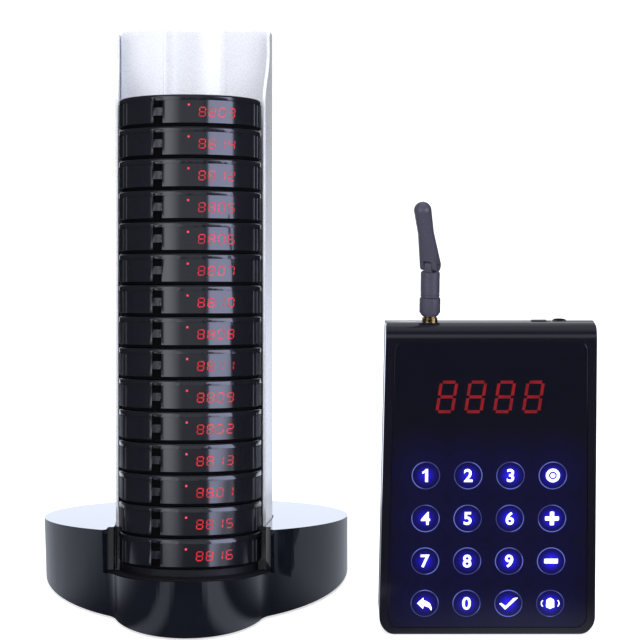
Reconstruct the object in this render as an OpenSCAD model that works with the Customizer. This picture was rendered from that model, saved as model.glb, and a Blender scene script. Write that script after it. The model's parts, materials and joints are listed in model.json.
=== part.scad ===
// Guest pager system: a charging tower with a leaning stack of round pagers, and a keypad console.
// Millimetres, +Z up. The fronts face -Y. The origin is the middle of the footprint, on the counter.

/* [Tower base] */
// Radius of the round base
base_r = 98; // [92:0.5:110]
// Radius of the dock lobe at the front
lobe_r = 47.5; // [46:0.5:52]
// Distance of the lobe's centre in front of the base's centre
lobe_offset = 73.5; // [66:0.5:80]
// Radius of the concave blend between base and lobe
blend_r = 12; // [6:0.5:20]
// Height of the sloping top at the base's back edge
base_back_h = 17; // [16.5:0.5:24]
// Wall of the base shell
base_wall = 2.6; // [2:0.1:3.4]
// Thickness of the bottom plate
plate_t = 2; // [1.5:0.1:3]
// Height of the rubber feet
foot_h = 2; // [1.5:0.1:4]
// Diameter of the rubber feet
foot_d = 14; // [8:0.5:18]
// Width of the dock recess
dock_w = 100; // [100:0.5:106]
// Depth of the dock recess under the sloping top
dock_depth = 27; // [24:0.5:30]
// Height of the pedestal that the lowest pager stands on
pedestal_h = 5.3; // [4:0.1:7]

/* [Stack and column] */
// Backward lean of the stack, the column and the sloping top
lean = 12.4; // [8:0.1:14]
// Distance of the stack's foot in front of the base's centre
stack_offset = 63.7; // [60:0.1:66]
// Height of the column over the pedestal
column_h = 333; // [315:1:360]
// Wall of the column's side rails
wing_t = 1.8; // [1.4:0.1:2.4]
// Thickness of the column's back panel
panel_t = 2.6; // [2:0.1:3.4]
// How far the side rails spread from front to back
wing_spread = 3.2; // [2:0.1:3.6]
// Half width of the channel in the back panel
channel_half_w = 16.1; // [12:0.1:20]
// Width of the raised strips beside the channel
strip_w = 3.8; // [2:0.1:6]

/* [Pagers] */
// Diameter of a pager
pager_d = 88.4; // [86:0.2:90]
// Height of a pager
pager_h = 18.65; // [18:0.05:19.6]
// Height of the recessed foot under a pager
pager_foot_h = 1.7; // [1:0.1:2.5]
// Height of the rim band of the cover
rim_h = 3.3; // [2.4:0.1:4.5]
// Wall of the pager's case
pager_wall = 1.6; // [1.2:0.1:2]
// Half angle of the front window
window_angle = 67; // [50:1:75]
// Direction of the lanyard slots from the front, to the left
slot_angle = 26.4; // [20:0.2:32]
// Width of the lanyard slots
slot_w = 6.2; // [4:0.1:8]
// Height of the bar between the two lanyard slots
slot_bar_h = 2.5; // [1.5:0.1:4]
// Turn of the lowest pager to the right on its pedestal
first_turn = 1.6; // [-10:0.1:10]
// Further turn from each pager to the next
turn_step = 0.18; // [-1:0.01:1]

/* [Console] */
// Width of the console at its lower end
console_w = 129.5; // [124:0.5:140]
// Width of the console at its upper end
console_w_top = 123; // [118:0.5:134]
// Height of the console
console_h = 190; // [185:1:205]
// Depth of the console at its lower end
console_d = 24; // [23:0.5:28]
// Depth of the console at its upper end
console_d_top = 28; // [26:0.5:32]
// Backward lean of the console's front
console_lean = 3; // [0:0.5:4]
// Wall of the console's case
console_wall = 2.2; // [1.8:0.1:2.6]
// Radius of the rolled upper edge
roll_r = 9; // [6:0.5:11]
// Radius of the two lower corners
corner_r = 11.5; // [8:0.5:16]
// Margin around the touch overlay
overlay_margin = 5; // [3.5:0.5:8]
// Thickness of the touch overlay
overlay_t = 1.5; // [1:0.1:2]
// Sideways pitch of the touch keys
key_pitch_x = 25; // [22:0.5:27]
// Upright pitch of the touch keys
key_pitch_z = 26.2; // [23:0.2:28]
// Height of the lowest key row over the counter
key_row_z = 20.1; // [18:0.1:24]
// Diameter of a touch key's ring
key_d = 16.8; // [14:0.2:18]
// Width of the four-digit display
display_w = 66; // [62:1:80]
// Height of the four-digit display
display_h = 25; // [23:0.5:30]
// Height of the display's middle over the counter
display_z = 146; // [140:0.5:152]

/* [Antenna] */
// Distance of the antenna left of the console's middle
antenna_x = 35.5; // [25:0.1:45]
// Diameter of the knurled nut
nut_d = 12.3; // [11:0.1:14]
// Height of the knurled nut
nut_h = 11; // [8:0.5:14]
// Diameter of the swivel barrel
barrel_d = 11.3; // [9.5:0.1:12]
// Height of the swivel barrel
barrel_h = 15; // [11:0.5:20]
// Length of the blade from its hinge to its tip
blade_l = 41; // [34:0.5:60]
// Tilt of the blade towards the front
blade_tilt = 18; // [0:1:45]
// Turn of the blade's tilt towards the left
blade_turn = 29; // [0:1:45]
// Diameter of the hinge pin
pin_d = 2; // [1.6:0.1:2.4]

/* [Layout] */
// Gap between the tower's base and the console
device_gap = 17.6; // [8:0.2:60]
// How far the console stands behind the front of the tower
console_setback = 9.5; // [0:0.5:40]

/* [Hidden] */
$fn = 64;
pager_count = 15;
// Clearance between pieces that slide past each other
slide_gap = 0.35;
// Clearance around a piece seated in another
seat_gap = 0.2;
// Small overlap that keeps cuts clean
over = 0.05;
// Longer than anything in the model
far = 600;

// Where the two devices stand; the console is widest where its lower corners meet its sides
side_taper = atan((console_w - console_w_top) / 2 / console_h);
console_reach = console_w / 2 + corner_r * (1 - cos(side_taper) / (1 - sin(side_taper)));
total_w = 2 * (base_r + console_reach) + device_gap;
tower_x = base_r - total_w / 2;
console_x = total_w / 2 - console_reach;
tower_y = (lobe_offset + lobe_r - base_r) / 2;
console_y = tower_y - lobe_offset - lobe_r + console_setback;

// Height of the sloping top over the base's centre
base_h = base_back_h + base_r * tan(lean);
dock_front = lobe_offset + lobe_r;

// The stack frame: its origin is the middle of the pedestal's top and its Z runs up the stack
stack_z = base_h + stack_offset * tan(lean) - (dock_depth - pedestal_h) / cos(lean);
pager_r = pager_d / 2;
pager_pitch = pager_h + 0.3;
dock_back = pager_r + 18;
dock_corner_r = 8;
// Where the dock narrows from its mouth to the column, and the chamfer of the mouth
dock_step_u = -9;
dock_chamfer = 2.2;
rail_gap = 0.5;

// The column: rail front edges stand beside the pagers, the panel stands behind them
rail_in = pager_r + slide_gap;
channel_r = pager_r + slide_gap;
strip_u = sqrt(pow(channel_r, 2) - pow(channel_half_w, 2));
panel_u = strip_u + 0.9;
panel_half_w = rail_in + wing_spread * 0.75;
panel_back = panel_u + panel_t;
channel_back = channel_r + panel_t;
rail_out = rail_in + wing_t + wing_spread;
rail_back = panel_back + wing_t;
flange_w = 14;
port_r = 3.6;
port_x = 30;
port_bore_r = 1.5;
port_u = panel_back + port_r - 1;
wing_top = column_h - 2.5;
wing_setback = 26;
wing_curve_h = 34;
wing_foot_setback = 4;
wing_foot_h = 12;
wing_root_setback = 24;
wing_root_h = dock_depth - pedestal_h - 1.5;

// Base details
boss_r = 4;
boss_hole_r = 1.4;
boss_places = [[70, -22], [-70, -22], [46, 62], [-46, 62], [0, -103]];
foot_places = [[62, -62], [-62, -62], [58, 60], [-58, 60], [0, -84]];
plate_top = foot_h + plate_t;
screw_hole_r = 1.8;
screw_l = 9;
screw_head_r = 2.8;
screw_head_h = 1.4;
port_screw_l = 14;
port_head_r = 3;
port_head_h = 2;
contact_r = 1.5;
contact_x = 12;
board_t = 1.6;
board_w = 60;
board_l = 48;
board_drop = 6;
jack_hole_r = 3;
jack_nose_r = 4;
jack_body_w = 9;
jack_body_l = 12;
jack_z = plate_top + 5.4;

// Pager details
case_r = pager_r - 0.3;
rim_r = pager_r - 0.15;
window_r_in = pager_r - 1.4;
foot_r = pager_r - 1.8;
cover_t = 1.8;
groove_w = 0.4;
rib_step = 0.64;
rib_proud = 0.15;
rib_r = 0.45;
split_z = pager_h - rim_h;
case_floor = pager_foot_h + 1;
case_hollow_r = window_r_in - seat_gap - pager_wall;
slot_depth = 2.2;
slot_high = split_z + 0.2 - 4.2;
pager_board_t = 1.2;
cell_w = 34;
cell_l = 28;
cell_t = 5;

// Console details
top_corner_r = 3.5;
split_d = 13;
overlay_top = console_h - roll_r - 1;
console_board_d = 9.5;
console_board_w = console_w - 27.5;
console_board_z = 12;
console_board_h = console_h - 16 - console_board_z;
guide_t = 1.4;
boss_low_x = console_w / 2 - 9.75;
boss_high_x = console_w_top / 2 - 9.5;
boss_high_z = console_h - 22;
boss_in_console = [[-boss_low_x, 22], [boss_low_x, 22],
                   [-boss_high_x, boss_high_z], [boss_high_x, boss_high_z]];
back_foot_d = 10;
back_foot_t = 2;
back_foot_x = console_w / 2 - 16.75;
back_foot_z = [36, console_h - 38];
console_boss_r = 3.4;
front_wall_t = 1.6;
top_front_y = console_h * tan(console_lean);
top_drop = 4;
socket_y = top_front_y + 12;
socket_r = 4.6;
socket_z = top_face_z(socket_y) - 0.3;
thread_r = 3.1;
nut_z = console_h + 2.1;
barrel_z = nut_z + nut_h + 0.3;
pin_z = barrel_z + barrel_h + 3.6;
tongue_w = 4.6;
tongue_r = 3.4;
fork_w = 10.6;
switch_x = 29.8;
switch_travel = 2;
knob_w = 9;
knob_d = 3.8;
knob_proud = 0.5;
console_jack_x = 41;
jack_y = socket_y + 2;

// Height of the console's top face at a depth
function top_face_z(y) = console_h - top_drop * (y - top_front_y) / console_d_top;

function pager_name(k) = str("pager_", k < 10 ? "0" : "", k);

// An outline, counter-clockwise, with its corners rounded by radii and its sides drawn in by inset
function unit(v) = v / norm(v);
function left_of(v) = [-v[1], v[0]];
function rounded(points, radii, inset = 0, steps = 10) = [
    for (i = [0 : len(points) - 1])
        let (
            count = len(points),
            here = points[i],
            n1 = left_of(unit(here - points[(i + count - 1) % count])),
            n2 = left_of(unit(points[(i + 1) % count] - here)),
            side = n1[0] * n2[1] - n1[1] * n2[0] > 0 ? 1 : -1,
            centre = here + side * (n1 + n2) * radii[i] / (1 + n1 * n2),
            r = max(radii[i] - side * inset, 0.01),
            a1 = atan2(-side * n1[1], -side * n1[0]),
            turn = side * ((side * (atan2(-side * n2[1], -side * n2[0]) - a1) + 720) % 360)
        )
        for (s = [0 : steps]) centre + r * [cos(a1 + turn * s / steps), sin(a1 + turn * s / steps)]
];
// A smooth rise from 0 to 1
function smooth(t) = t * t * (3 - 2 * t);

module on_tower() { translate([tower_x, tower_y, 0]) children(); }
module on_stack() {
    on_tower() translate([0, -stack_offset, stack_z]) rotate([-lean, 0, 0]) children();
}
module on_console() { translate([console_x, console_y, 0]) children(); }
module both_sides() {
    children();
    mirror([1, 0, 0]) children();
}

// ---------- Tower base ----------

// Plan of the base: a round body and a round lobe, joined by concave blends
module base_outline(inset = 0) {
    big = base_r - inset;
    small = lobe_r - inset;
    blend = blend_r + inset;
    blend_y = -(pow(lobe_offset, 2) + pow(big + blend, 2) - pow(small + blend, 2)) / (2 * lobe_offset);
    blend_x = sqrt(pow(big + blend, 2) - pow(blend_y, 2));
    circle(big, $fn = 160);
    translate([0, -lobe_offset]) circle(small, $fn = 120);
    both_sides() difference() {
        polygon([[0, 0], [0, -lobe_offset], [blend_x, blend_y]]);
        translate([blend_x, blend_y]) circle(blend);
    }
}

// Everything under the sloping top, lowered by drop
module under_slope(drop = 0) {
    translate([0, 0, base_h]) rotate([-lean, 0, 0])
        translate([-far / 2, -far / 2, -far - drop]) cube([far, far, far]);
}

module base_solid(inset = 0, drop = 0, low = 0) {
    intersection() {
        translate([0, 0, low]) linear_extrude(height = 90) base_outline(inset);
        under_slope(drop);
    }
}

// The dock recess in the stack frame, grown on every side: a wide mouth, then a neck around the rails
module dock_recess(grow = 0) {
    half = dock_w / 2 + grow;
    step = dock_step_u + grow;
    neck = rail_in + wing_t + rail_gap + grow;
    wide = rail_out + rail_gap + grow;
    back = dock_back + grow;
    r = dock_corner_r + grow;
    translate([0, 0, -pedestal_h - grow]) linear_extrude(height = 90) both_sides() {
        polygon([[0, -dock_front], [half, -dock_front], [half, step], [neck, step], [neck, 0],
                 [wide, rail_back - 5], [wide, back - r], [wide - r, back - r], [wide - r, back], [0, back]]);
        translate([wide - r, back - r]) circle(r);
    }
}

// The chamfer on the upright edges of the dock's mouth
module mouth_chamfer() {
    half = dock_w / 2;
    edge_y = dock_chamfer - sqrt(pow(base_r, 2) - pow(half + dock_chamfer, 2));
    intersection() {
        both_sides() linear_extrude(height = 90)
            polygon([[half - 1, edge_y + 1], [half + 8, edge_y - 8], [half - 1, edge_y - 8]]);
        into_stack() translate([-far / 2, -far / 2, -pedestal_h]) cube(far);
    }
}

module into_stack() { translate([0, -stack_offset, stack_z]) rotate([-lean, 0, 0]) children(); }

module base_bosses() {
    intersection() {
        for (p = boss_places) translate([p[0], p[1], plate_top]) cylinder(r = boss_r, h = 80);
        difference() {
            base_solid(base_wall / 2, base_wall / 2);
            into_stack() dock_recess(base_wall / 2);
        }
    }
    into_stack() for (x = [-board_w / 2 + 5, board_w / 2 - 5], u = [-board_l / 2 + 5, board_l / 2 - 5])
        translate([x, u, -pedestal_h - base_wall - board_drop]) cylinder(r = 2.5, h = board_drop + 1);
}

module base_shell() {
    color([0.05, 0.05, 0.07]) on_tower() difference() {
        union() {
            difference() {
                base_solid(0, 0, foot_h);
                difference() {
                    base_solid(base_wall, base_wall);
                    into_stack() dock_recess(base_wall);
                }
                into_stack() dock_recess(0);
                mouth_chamfer();
            }
            base_bosses();
        }
        for (p = boss_places) translate([p[0], p[1], plate_top - over])
            cylinder(r = boss_hole_r, h = screw_l + 2);
        into_stack() for (x = [-port_x, port_x])
            translate([x, port_u, -pedestal_h - base_wall - 1])
                cylinder(r = screw_hole_r, h = base_wall + 2);
        into_stack() for (x = [-contact_x, contact_x])
            translate([x, 0, -pedestal_h - base_wall - 1])
                cylinder(r = contact_r + seat_gap, h = base_wall + 2);
        translate([0, base_r + 1, jack_z]) rotate([90, 0, 0])
            cylinder(r = jack_nose_r + seat_gap, h = base_wall + 3);
    }
}

module base_plate() {
    color([0.08, 0.08, 0.09]) on_tower() difference() {
        translate([0, 0, foot_h]) linear_extrude(height = plate_t) base_outline(base_wall + seat_gap);
        for (p = boss_places) translate([p[0], p[1], foot_h - 1])
            cylinder(r = screw_hole_r, h = plate_t + 2);
    }
}

module base_feet() {
    color([0.12, 0.12, 0.12]) on_tower() for (p = foot_places) translate([p[0], p[1], 0]) {
        cylinder(d1 = foot_d - 1.2, d2 = foot_d, h = foot_h / 2);
        translate([0, 0, foot_h / 2]) cylinder(d = foot_d, h = foot_h / 2);
    }
}

// A screw with its head down, its shank up from the head's top at z = 0
module screw_up(shank_r, shank_l, head_r, head_h) {
    difference() {
        union() {
            cylinder(r = shank_r, h = shank_l);
            translate([0, 0, -head_h]) cylinder(r = head_r, h = head_h);
        }
        translate([0, 0, -head_h - over]) cylinder(r = head_r * 0.5, h = head_h * 0.55, $fn = 6);
    }
}

module base_screws() {
    color("silver") on_tower() for (p = boss_places)
        translate([p[0], p[1], foot_h]) screw_up(boss_hole_r - 0.1, screw_l, screw_head_r, screw_head_h);
}

module dock_insert() {
    color([0.1, 0.1, 0.1]) on_tower() {
        difference() {
            union() {
                intersection() {
                    linear_extrude(height = 90) base_outline(1.6);
                    into_stack() translate([-dock_w / 2 + 0.4, -dock_front, -pedestal_h])
                        cube([dock_w - 0.8, dock_front + dock_step_u - 0.3, 0.8]);
                }
                into_stack() translate([0, 0, -pedestal_h])
                    cylinder(r = foot_r - 0.6, h = pedestal_h - slide_gap);
            }
            into_stack() for (x = [-contact_x, contact_x])
                translate([x, 0, -pedestal_h - 1]) cylinder(r = contact_r + seat_gap, h = pedestal_h + 2);
        }
    }
}

module dock_contacts() {
    low = pedestal_h + base_wall + board_drop;
    color("gold") on_stack() for (x = [-contact_x, contact_x])
        translate([x, 0, -low]) cylinder(r = contact_r, h = low - slide_gap);
}

module charge_board() {
    color("darkgreen") on_stack()
        translate([-board_w / 2, -board_l / 2, -pedestal_h - base_wall - board_drop - board_t])
            cube([board_w, board_l, board_t]);
}

// A DC inlet: a block with a round nose, its bore open towards -Y of this module
module power_inlet(body_w, body_l, body_h, nose_r, nose_l, bore_r, bore_l) {
    difference() {
        union() {
            translate([-body_w / 2, 0, -body_h / 2]) cube([body_w, body_l, body_h]);
            rotate([90, 0, 0]) cylinder(r = nose_r, h = nose_l);
            rotate([-90, 0, 0]) cylinder(r = nose_r, h = 1);
        }
        translate([0, -nose_l - over, 0]) rotate([-90, 0, 0]) cylinder(r = bore_r, h = bore_l);
    }
}

module tower_power_jack() {
    face_y = sqrt(pow(base_r - base_wall, 2) - pow(jack_body_w / 2, 2)) - 0.1;
    color([0.15, 0.15, 0.15]) on_tower() translate([0, face_y, jack_z]) rotate([0, 0, 180])
        power_inlet(jack_body_w, jack_body_l, 2 * (jack_z - plate_top), jack_nose_r, base_r - face_y,
                    jack_hole_r, 11);
}

// ---------- Column ----------

module column_panel_section() {
    difference() {
        union() {
            translate([-panel_half_w, panel_u]) square([2 * panel_half_w, panel_t]);
            translate([-channel_half_w - strip_w, strip_u])
                square([2 * (channel_half_w + strip_w), panel_back - strip_u]);
            translate([-channel_half_w - strip_w, panel_back - over])
                square([2 * (channel_half_w + strip_w), channel_back - panel_back + over]);
            for (x = [-port_x, port_x]) translate([x, port_u]) circle(port_r);
        }
        circle(channel_r, $fn = 160);
        for (x = [-port_x, port_x]) translate([x, port_u]) circle(port_bore_r);
    }
}

module column_panel() {
    r = 3;
    color([0.78, 0.8, 0.85]) on_stack() intersection() {
        translate([0, 0, -pedestal_h]) linear_extrude(height = column_h + pedestal_h)
            column_panel_section();
        rotate([90, 0, 0]) translate([0, 0, -far / 2]) linear_extrude(height = far)
            polygon(rounded([[-panel_half_w, -20], [panel_half_w, -20], [panel_half_w, column_h],
                             [-panel_half_w, column_h]], [r, r, r, r]));
    }
}

// Section of the right side rail: it spreads backwards and hooks behind the panel
module wing_section() {
    polygon(concat(
        rounded([[rail_in, 0], [rail_in + wing_t, 0], [rail_out, rail_back - 5], [rail_out, rail_back],
                 [rail_out - flange_w, rail_back], [rail_out - flange_w, panel_back + 0.02],
                 [rail_out - wing_t, panel_back + 0.02], [rail_out - wing_t, rail_back - 5]],
                [0.5, 0.8, 12, 4, 0.6, 0.3, 0.3, 10], 0, 6)));
}

// Side view of a rail: its front edge draws back in a soft curve near the top and the foot
module wing_profile() {
    steps = 14;
    foot_edge = [for (i = [0 : steps]) [wing_foot_setback * (1 - smooth(i / steps)),
                                        dock_depth - pedestal_h + wing_foot_h * i / steps]];
    top_edge = [for (i = [0 : steps]) [wing_setback * smooth(i / steps),
                                       wing_top - 14 - wing_curve_h * (1 - i / steps)]];
    polygon(concat([[wing_root_setback, -pedestal_h], [wing_root_setback, wing_root_h],
                    [wing_foot_setback, wing_root_h]], foot_edge, top_edge,
                   [[wing_setback, wing_top - 2], [wing_setback + 2, wing_top],
                    [rail_back + 1, wing_top], [rail_back + 1, -pedestal_h]]));
}

module wing() {
    intersection() {
        translate([0, 0, -pedestal_h]) linear_extrude(height = column_h + pedestal_h) wing_section();
        rotate([90, 0, 90]) linear_extrude(height = far) wing_profile();
    }
}

module column_wing_right() { color([0.82, 0.84, 0.88]) on_stack() wing(); }
module column_wing_left() { color([0.82, 0.84, 0.88]) on_stack() mirror([1, 0, 0]) wing(); }

module column_screws() {
    color("silver") on_stack() for (x = [-port_x, port_x])
        translate([x, port_u, -pedestal_h - base_wall])
            screw_up(port_bore_r - 0.1, base_wall + port_screw_l, port_head_r, port_head_h);
}

// ---------- Pagers ----------

module sector(half_angle) {
    reach = pager_r + 10;
    polygon([[0, 0], [-reach * sin(half_angle), -reach * cos(half_angle)],
             [-reach, -reach], [reach, -reach],
             [reach * sin(half_angle), -reach * cos(half_angle)]]);
}

// The two slots that leave a bar for a lanyard between them; the lower one is open downwards
module lanyard_slots() {
    rotate([0, 0, -slot_angle]) {
        translate([-slot_w / 2, -pager_r - 1, pager_h - rim_h - (slot_high - slot_bar_h) / 2])
            cube([slot_w, slot_depth + 1, (slot_high - slot_bar_h) / 2 + 1.2]);
        translate([-slot_w / 2, -pager_r - 1, pager_foot_h - 0.5])
            cube([slot_w, slot_depth + 1, (slot_high - slot_bar_h) / 2 + 0.5]);
    }
}

// The place of a pager in the stack; each stands turned a little on the one below
module on_pager(k) {
    on_stack() translate([0, 0, (k - 1) * pager_pitch]) rotate([0, 0, first_turn + (k - 1) * turn_step])
        children();
}

module pager_case(k) {
    color([0.07, 0.07, 0.08]) on_pager(k) difference() {
        union() {
            cylinder(r = foot_r, h = pager_foot_h + over, $fn = 96);
            translate([0, 0, pager_foot_h])
                cylinder(r = case_r, h = split_z - groove_w - pager_foot_h, $fn = 96);
            translate([0, 0, pager_foot_h])
                cylinder(r = window_r_in - 1, h = split_z - pager_foot_h, $fn = 96);
        }
        translate([0, 0, pager_foot_h]) linear_extrude(height = pager_h) intersection() {
            difference() {
                circle(pager_r + 5);
                circle(window_r_in - seat_gap, $fn = 96);
            }
            sector(window_angle + 0.4);
        }
        translate([0, 0, case_floor]) cylinder(r = case_hollow_r, h = pager_h, $fn = 96);
    }
}

module pager_cover(k) {
    edge_r = 1.2;
    color([0.03, 0.03, 0.05]) on_pager(k) difference() {
        union() {
            rotate_extrude($fn = 96) polygon(concat(
                [[0, split_z], [rim_r, split_z]],
                [for (a = [0 : 15 : 90]) [rim_r - edge_r * (1 - cos(a)), pager_h - edge_r * (1 - sin(a))]],
                [[rim_r - 5, pager_h], [rim_r - 6, pager_h - 0.5], [0, pager_h - 0.5]]));
            translate([0, 0, pager_foot_h]) linear_extrude(height = split_z - pager_foot_h + over)
                intersection() {
                    difference() {
                        circle(pager_r, $fn = 96);
                        circle(window_r_in, $fn = 96);
                    }
                    sector(window_angle);
                }
            for (side = [-1, 1], step = [rib_step, 10 * rib_step]) rotate([0, 0, side * (window_angle - step)])
                translate([0, -pager_r - rib_proud, pager_foot_h])
                    cylinder(r = rib_r, h = split_z - pager_foot_h);
        }
        difference() {
            translate([0, 0, split_z - groove_w]) cylinder(r = pager_r + 1, h = groove_w);
            cylinder(r = pager_r - 0.5, h = pager_h, $fn = 96);
        }
        translate([0, 0, -over]) cylinder(r = case_hollow_r, h = pager_h - cover_t, $fn = 96);
        lanyard_slots();
        rotate([0, 0, -1.6]) translate([0, -pager_r - 1, pager_h - 6.3]) rotate([-90, 0, 0])
            cylinder(r = 0.6, h = 3.5, $fn = 16);
    }
}

module pager_15_board() {
    color("darkgreen") on_pager(pager_count) translate([0, 0, case_floor])
        cylinder(r = case_hollow_r - 3, h = pager_board_t);
}

module pager_15_battery() {
    color([0.7, 0.72, 0.75]) on_pager(pager_count)
        translate([-cell_w / 2, -10, case_floor + pager_board_t]) cube([cell_w, cell_l, cell_t]);
}

// ---------- Console ----------

console_front = [[-console_w / 2, 0], [console_w / 2, 0],
                 [console_w_top / 2, console_h], [-console_w_top / 2, console_h]];
console_side = [[0, 0], [console_d, 0],
                [top_front_y + console_d_top, console_h - top_drop],
                [top_front_y, console_h]];

// Side section between two depths behind the sloping front
module depth_band(from, to) {
    run = 400 * tan(console_lean);
    rotate([90, 0, 90]) translate([0, 0, -far / 2]) linear_extrude(height = far)
        polygon([[from - run, -400], [to - run, -400], [to + run, 400], [from + run, 400]]);
}

module console_solid(inset = 0) {
    intersection() {
        rotate([90, 0, 0]) translate([0, 0, -far / 2]) linear_extrude(height = far)
            polygon(rounded(console_front, [corner_r, corner_r, top_corner_r, top_corner_r], inset));
        rotate([90, 0, 90]) translate([0, 0, -far / 2]) linear_extrude(height = far)
            polygon(rounded(console_side, [2.6, 4, 10, roll_r], inset));
    }
}

// Outline of the overlay, seen from the front
module overlay_outline(gap = 0) {
    m = overlay_margin + gap;
    taper = (console_w - console_w_top) / 2 / console_h;
    half_low = console_w / 2 - m;
    half_top = console_w / 2 - taper * overlay_top - m;
    r = max(corner_r - overlay_margin, 3) + 0.5 - gap;
    rotate([90, 0, 0]) translate([0, 0, -far / 2]) linear_extrude(height = far)
        polygon(rounded([[-half_low, m], [half_low, m], [half_top, overlay_top - gap],
                         [-half_top, overlay_top - gap]], [r, r, r, r]));
}

module console_bosses(from, to, r) {
    for (p = boss_in_console) intersection() {
        translate([p[0], 0, p[1]]) rotate([-90, 0, 0]) cylinder(r = r, h = 80);
        depth_band(from, to);
    }
}

// Field of the sixteen touch keys and field of the display, seen from the front, grown by gap
module key_field(gap = 0) {
    half_w = 1.5 * key_pitch_x + key_d / 2 + 1.5 + gap;
    translate([-half_w, -50, key_row_z - key_d / 2 - 1.2 - gap])
        cube([2 * half_w, 100, 3 * key_pitch_z + key_d + 2.4 + 2 * gap]);
}
module display_field(gap = 0) {
    translate([-display_w / 2 - gap, -50, display_z - display_h / 2 - gap])
        cube([display_w + 2 * gap, 100, display_h + 2 * gap]);
}

module console_front_case() {
    color([0.05, 0.05, 0.08]) on_console() difference() {
        intersection() {
            console_solid();
            depth_band(-50, split_d);
        }
        difference() {
            console_solid(console_wall);
            depth_band(-50, overlay_t + front_wall_t);
            console_bosses(0, split_d, console_boss_r);
        }
        intersection() {
            overlay_outline(0);
            depth_band(-50, overlay_t);
        }
        intersection() {
            union() {
                key_field(seat_gap);
                display_field(seat_gap);
            }
            depth_band(-50, split_d);
        }
        console_bosses(overlay_t + front_wall_t + 1, split_d + 1, 1.3);
        top_openings();
    }
}

// Openings in the upper end for the antenna socket, the switch and the inlet
module top_openings() {
    translate([-antenna_x, socket_y, console_h - 20]) cylinder(r = thread_r + seat_gap, h = 40);
    translate([-antenna_x, socket_y, socket_z]) cylinder(r = socket_r + seat_gap, h = 20);
    translate([switch_x - (knob_w + switch_travel) / 2 - 0.4, socket_y - knob_d / 2 - 0.4, console_h - 6])
        cube([knob_w + switch_travel + 0.8, knob_d + 0.8, 20]);
    translate([console_jack_x, jack_y, console_h - 20]) cylinder(r = jack_nose_r + seat_gap, h = 40);
}

module console_back_case() {
    color([0.06, 0.06, 0.07]) on_console() difference() {
        intersection() {
            console_solid();
            depth_band(split_d, 90);
        }
        difference() {
            console_solid(console_wall);
            console_bosses(split_d, 90, console_boss_r);
        }
        console_bosses(split_d - 1, 90, 1.7);
        for (p = boss_in_console) translate([p[0], 0, p[1]]) rotate([-90, 0, 0])
            translate([0, 0, back_face_y(p[1]) - 1.8]) cylinder(r = 3, h = 10);
        top_openings();
    }
}

// Depth of the back face at a height
function back_face_y(z) =
    console_d + z * (top_front_y + console_d_top - console_d) / (console_h - top_drop);
function front_face_y(z) = z * tan(console_lean);

module console_overlay() {
    color([0.06, 0.05, 0.15]) on_console() intersection() {
        overlay_outline(seat_gap);
        depth_band(0, overlay_t);
    }
}

module key_light_guide() {
    color("white") on_console() intersection() {
        key_field();
        depth_band(overlay_t, overlay_t + guide_t);
    }
}

module digit_display() {
    color([0.3, 0.02, 0.03]) on_console() intersection() {
        display_field();
        depth_band(overlay_t, console_board_d);
    }
}

module console_board() {
    color("darkgreen") on_console() difference() {
        intersection() {
            translate([-console_board_w / 2, -far / 2, console_board_z])
                cube([console_board_w, far, console_board_h]);
            depth_band(console_board_d, console_board_d + board_t);
        }
        console_bosses(0, 40, console_boss_r + seat_gap);
    }
}

module touch_pads() {
    color("silver") on_console() intersection() {
        for (c = [0 : 3], r = [0 : 3])
            translate([(c - 1.5) * key_pitch_x, 0, key_row_z + r * key_pitch_z]) rotate([-90, 0, 0])
                cylinder(r = key_d * 0.36, h = far, $fn = 32);
        depth_band(overlay_t + guide_t, console_board_d);
    }
}

module console_power_switch() {
    body_top = top_face_z(socket_y + knob_d) - console_wall - 0.4;
    knob_top = top_face_z(socket_y - knob_d / 2) + knob_proud;
    color([0.1, 0.1, 0.1]) on_console() translate([switch_x - switch_travel / 2, socket_y, 0]) {
        translate([-knob_w / 2, -knob_d / 2, body_top - 4])
            cube([knob_w, knob_d, knob_top - body_top + 4]);
        translate([-knob_w / 2 - 0.8, -knob_d / 2 - 1, body_top - 4])
            cube([knob_w + 1.6, knob_d + 2, 4]);
    }
}

module console_power_jack() {
    top = top_face_z(jack_y - jack_nose_r) + 0.2;
    color([0.15, 0.15, 0.15]) on_console() translate([console_jack_x, jack_y, 0]) difference() {
        union() {
            translate([0, 0, top - 10]) cylinder(r = jack_nose_r, h = 10);
            translate([-4, -5, top - 13.6]) cube([8, 10, 6.2]);
        }
        translate([0, 0, top - 12]) cylinder(r = jack_hole_r, h = 14);
    }
}

module console_feet() {
    color([0.12, 0.12, 0.12]) on_console() for (x = [-back_foot_x, back_foot_x], z = back_foot_z)
        translate([x, back_face_y(z), z]) rotate([-90 - atan((back_face_y(z) - console_d) / z), 0, 0])
            cylinder(d1 = back_foot_d + 1, d2 = back_foot_d, h = back_foot_t);
}

module console_screws() {
    color("silver") on_console() for (p = boss_in_console)
        translate([p[0], back_face_y(p[1]) - 1.8, p[1]]) rotate([90, 0, 0])
            screw_up(1.2, back_face_y(p[1]) - front_face_y(p[1]) - 8, 2.7, 1.5);
}

// ---------- Antenna ----------

module on_antenna() { on_console() translate([-antenna_x, socket_y, 0]) children(); }
// The swivel turns the blade's tilt, and the hinge tilts the blade about its pin
module on_swivel() { on_antenna() rotate([0, 0, -blade_turn]) children(); }
module on_blade() { on_swivel() translate([0, 0, pin_z]) rotate([blade_tilt, 0, 0]) children(); }

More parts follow.
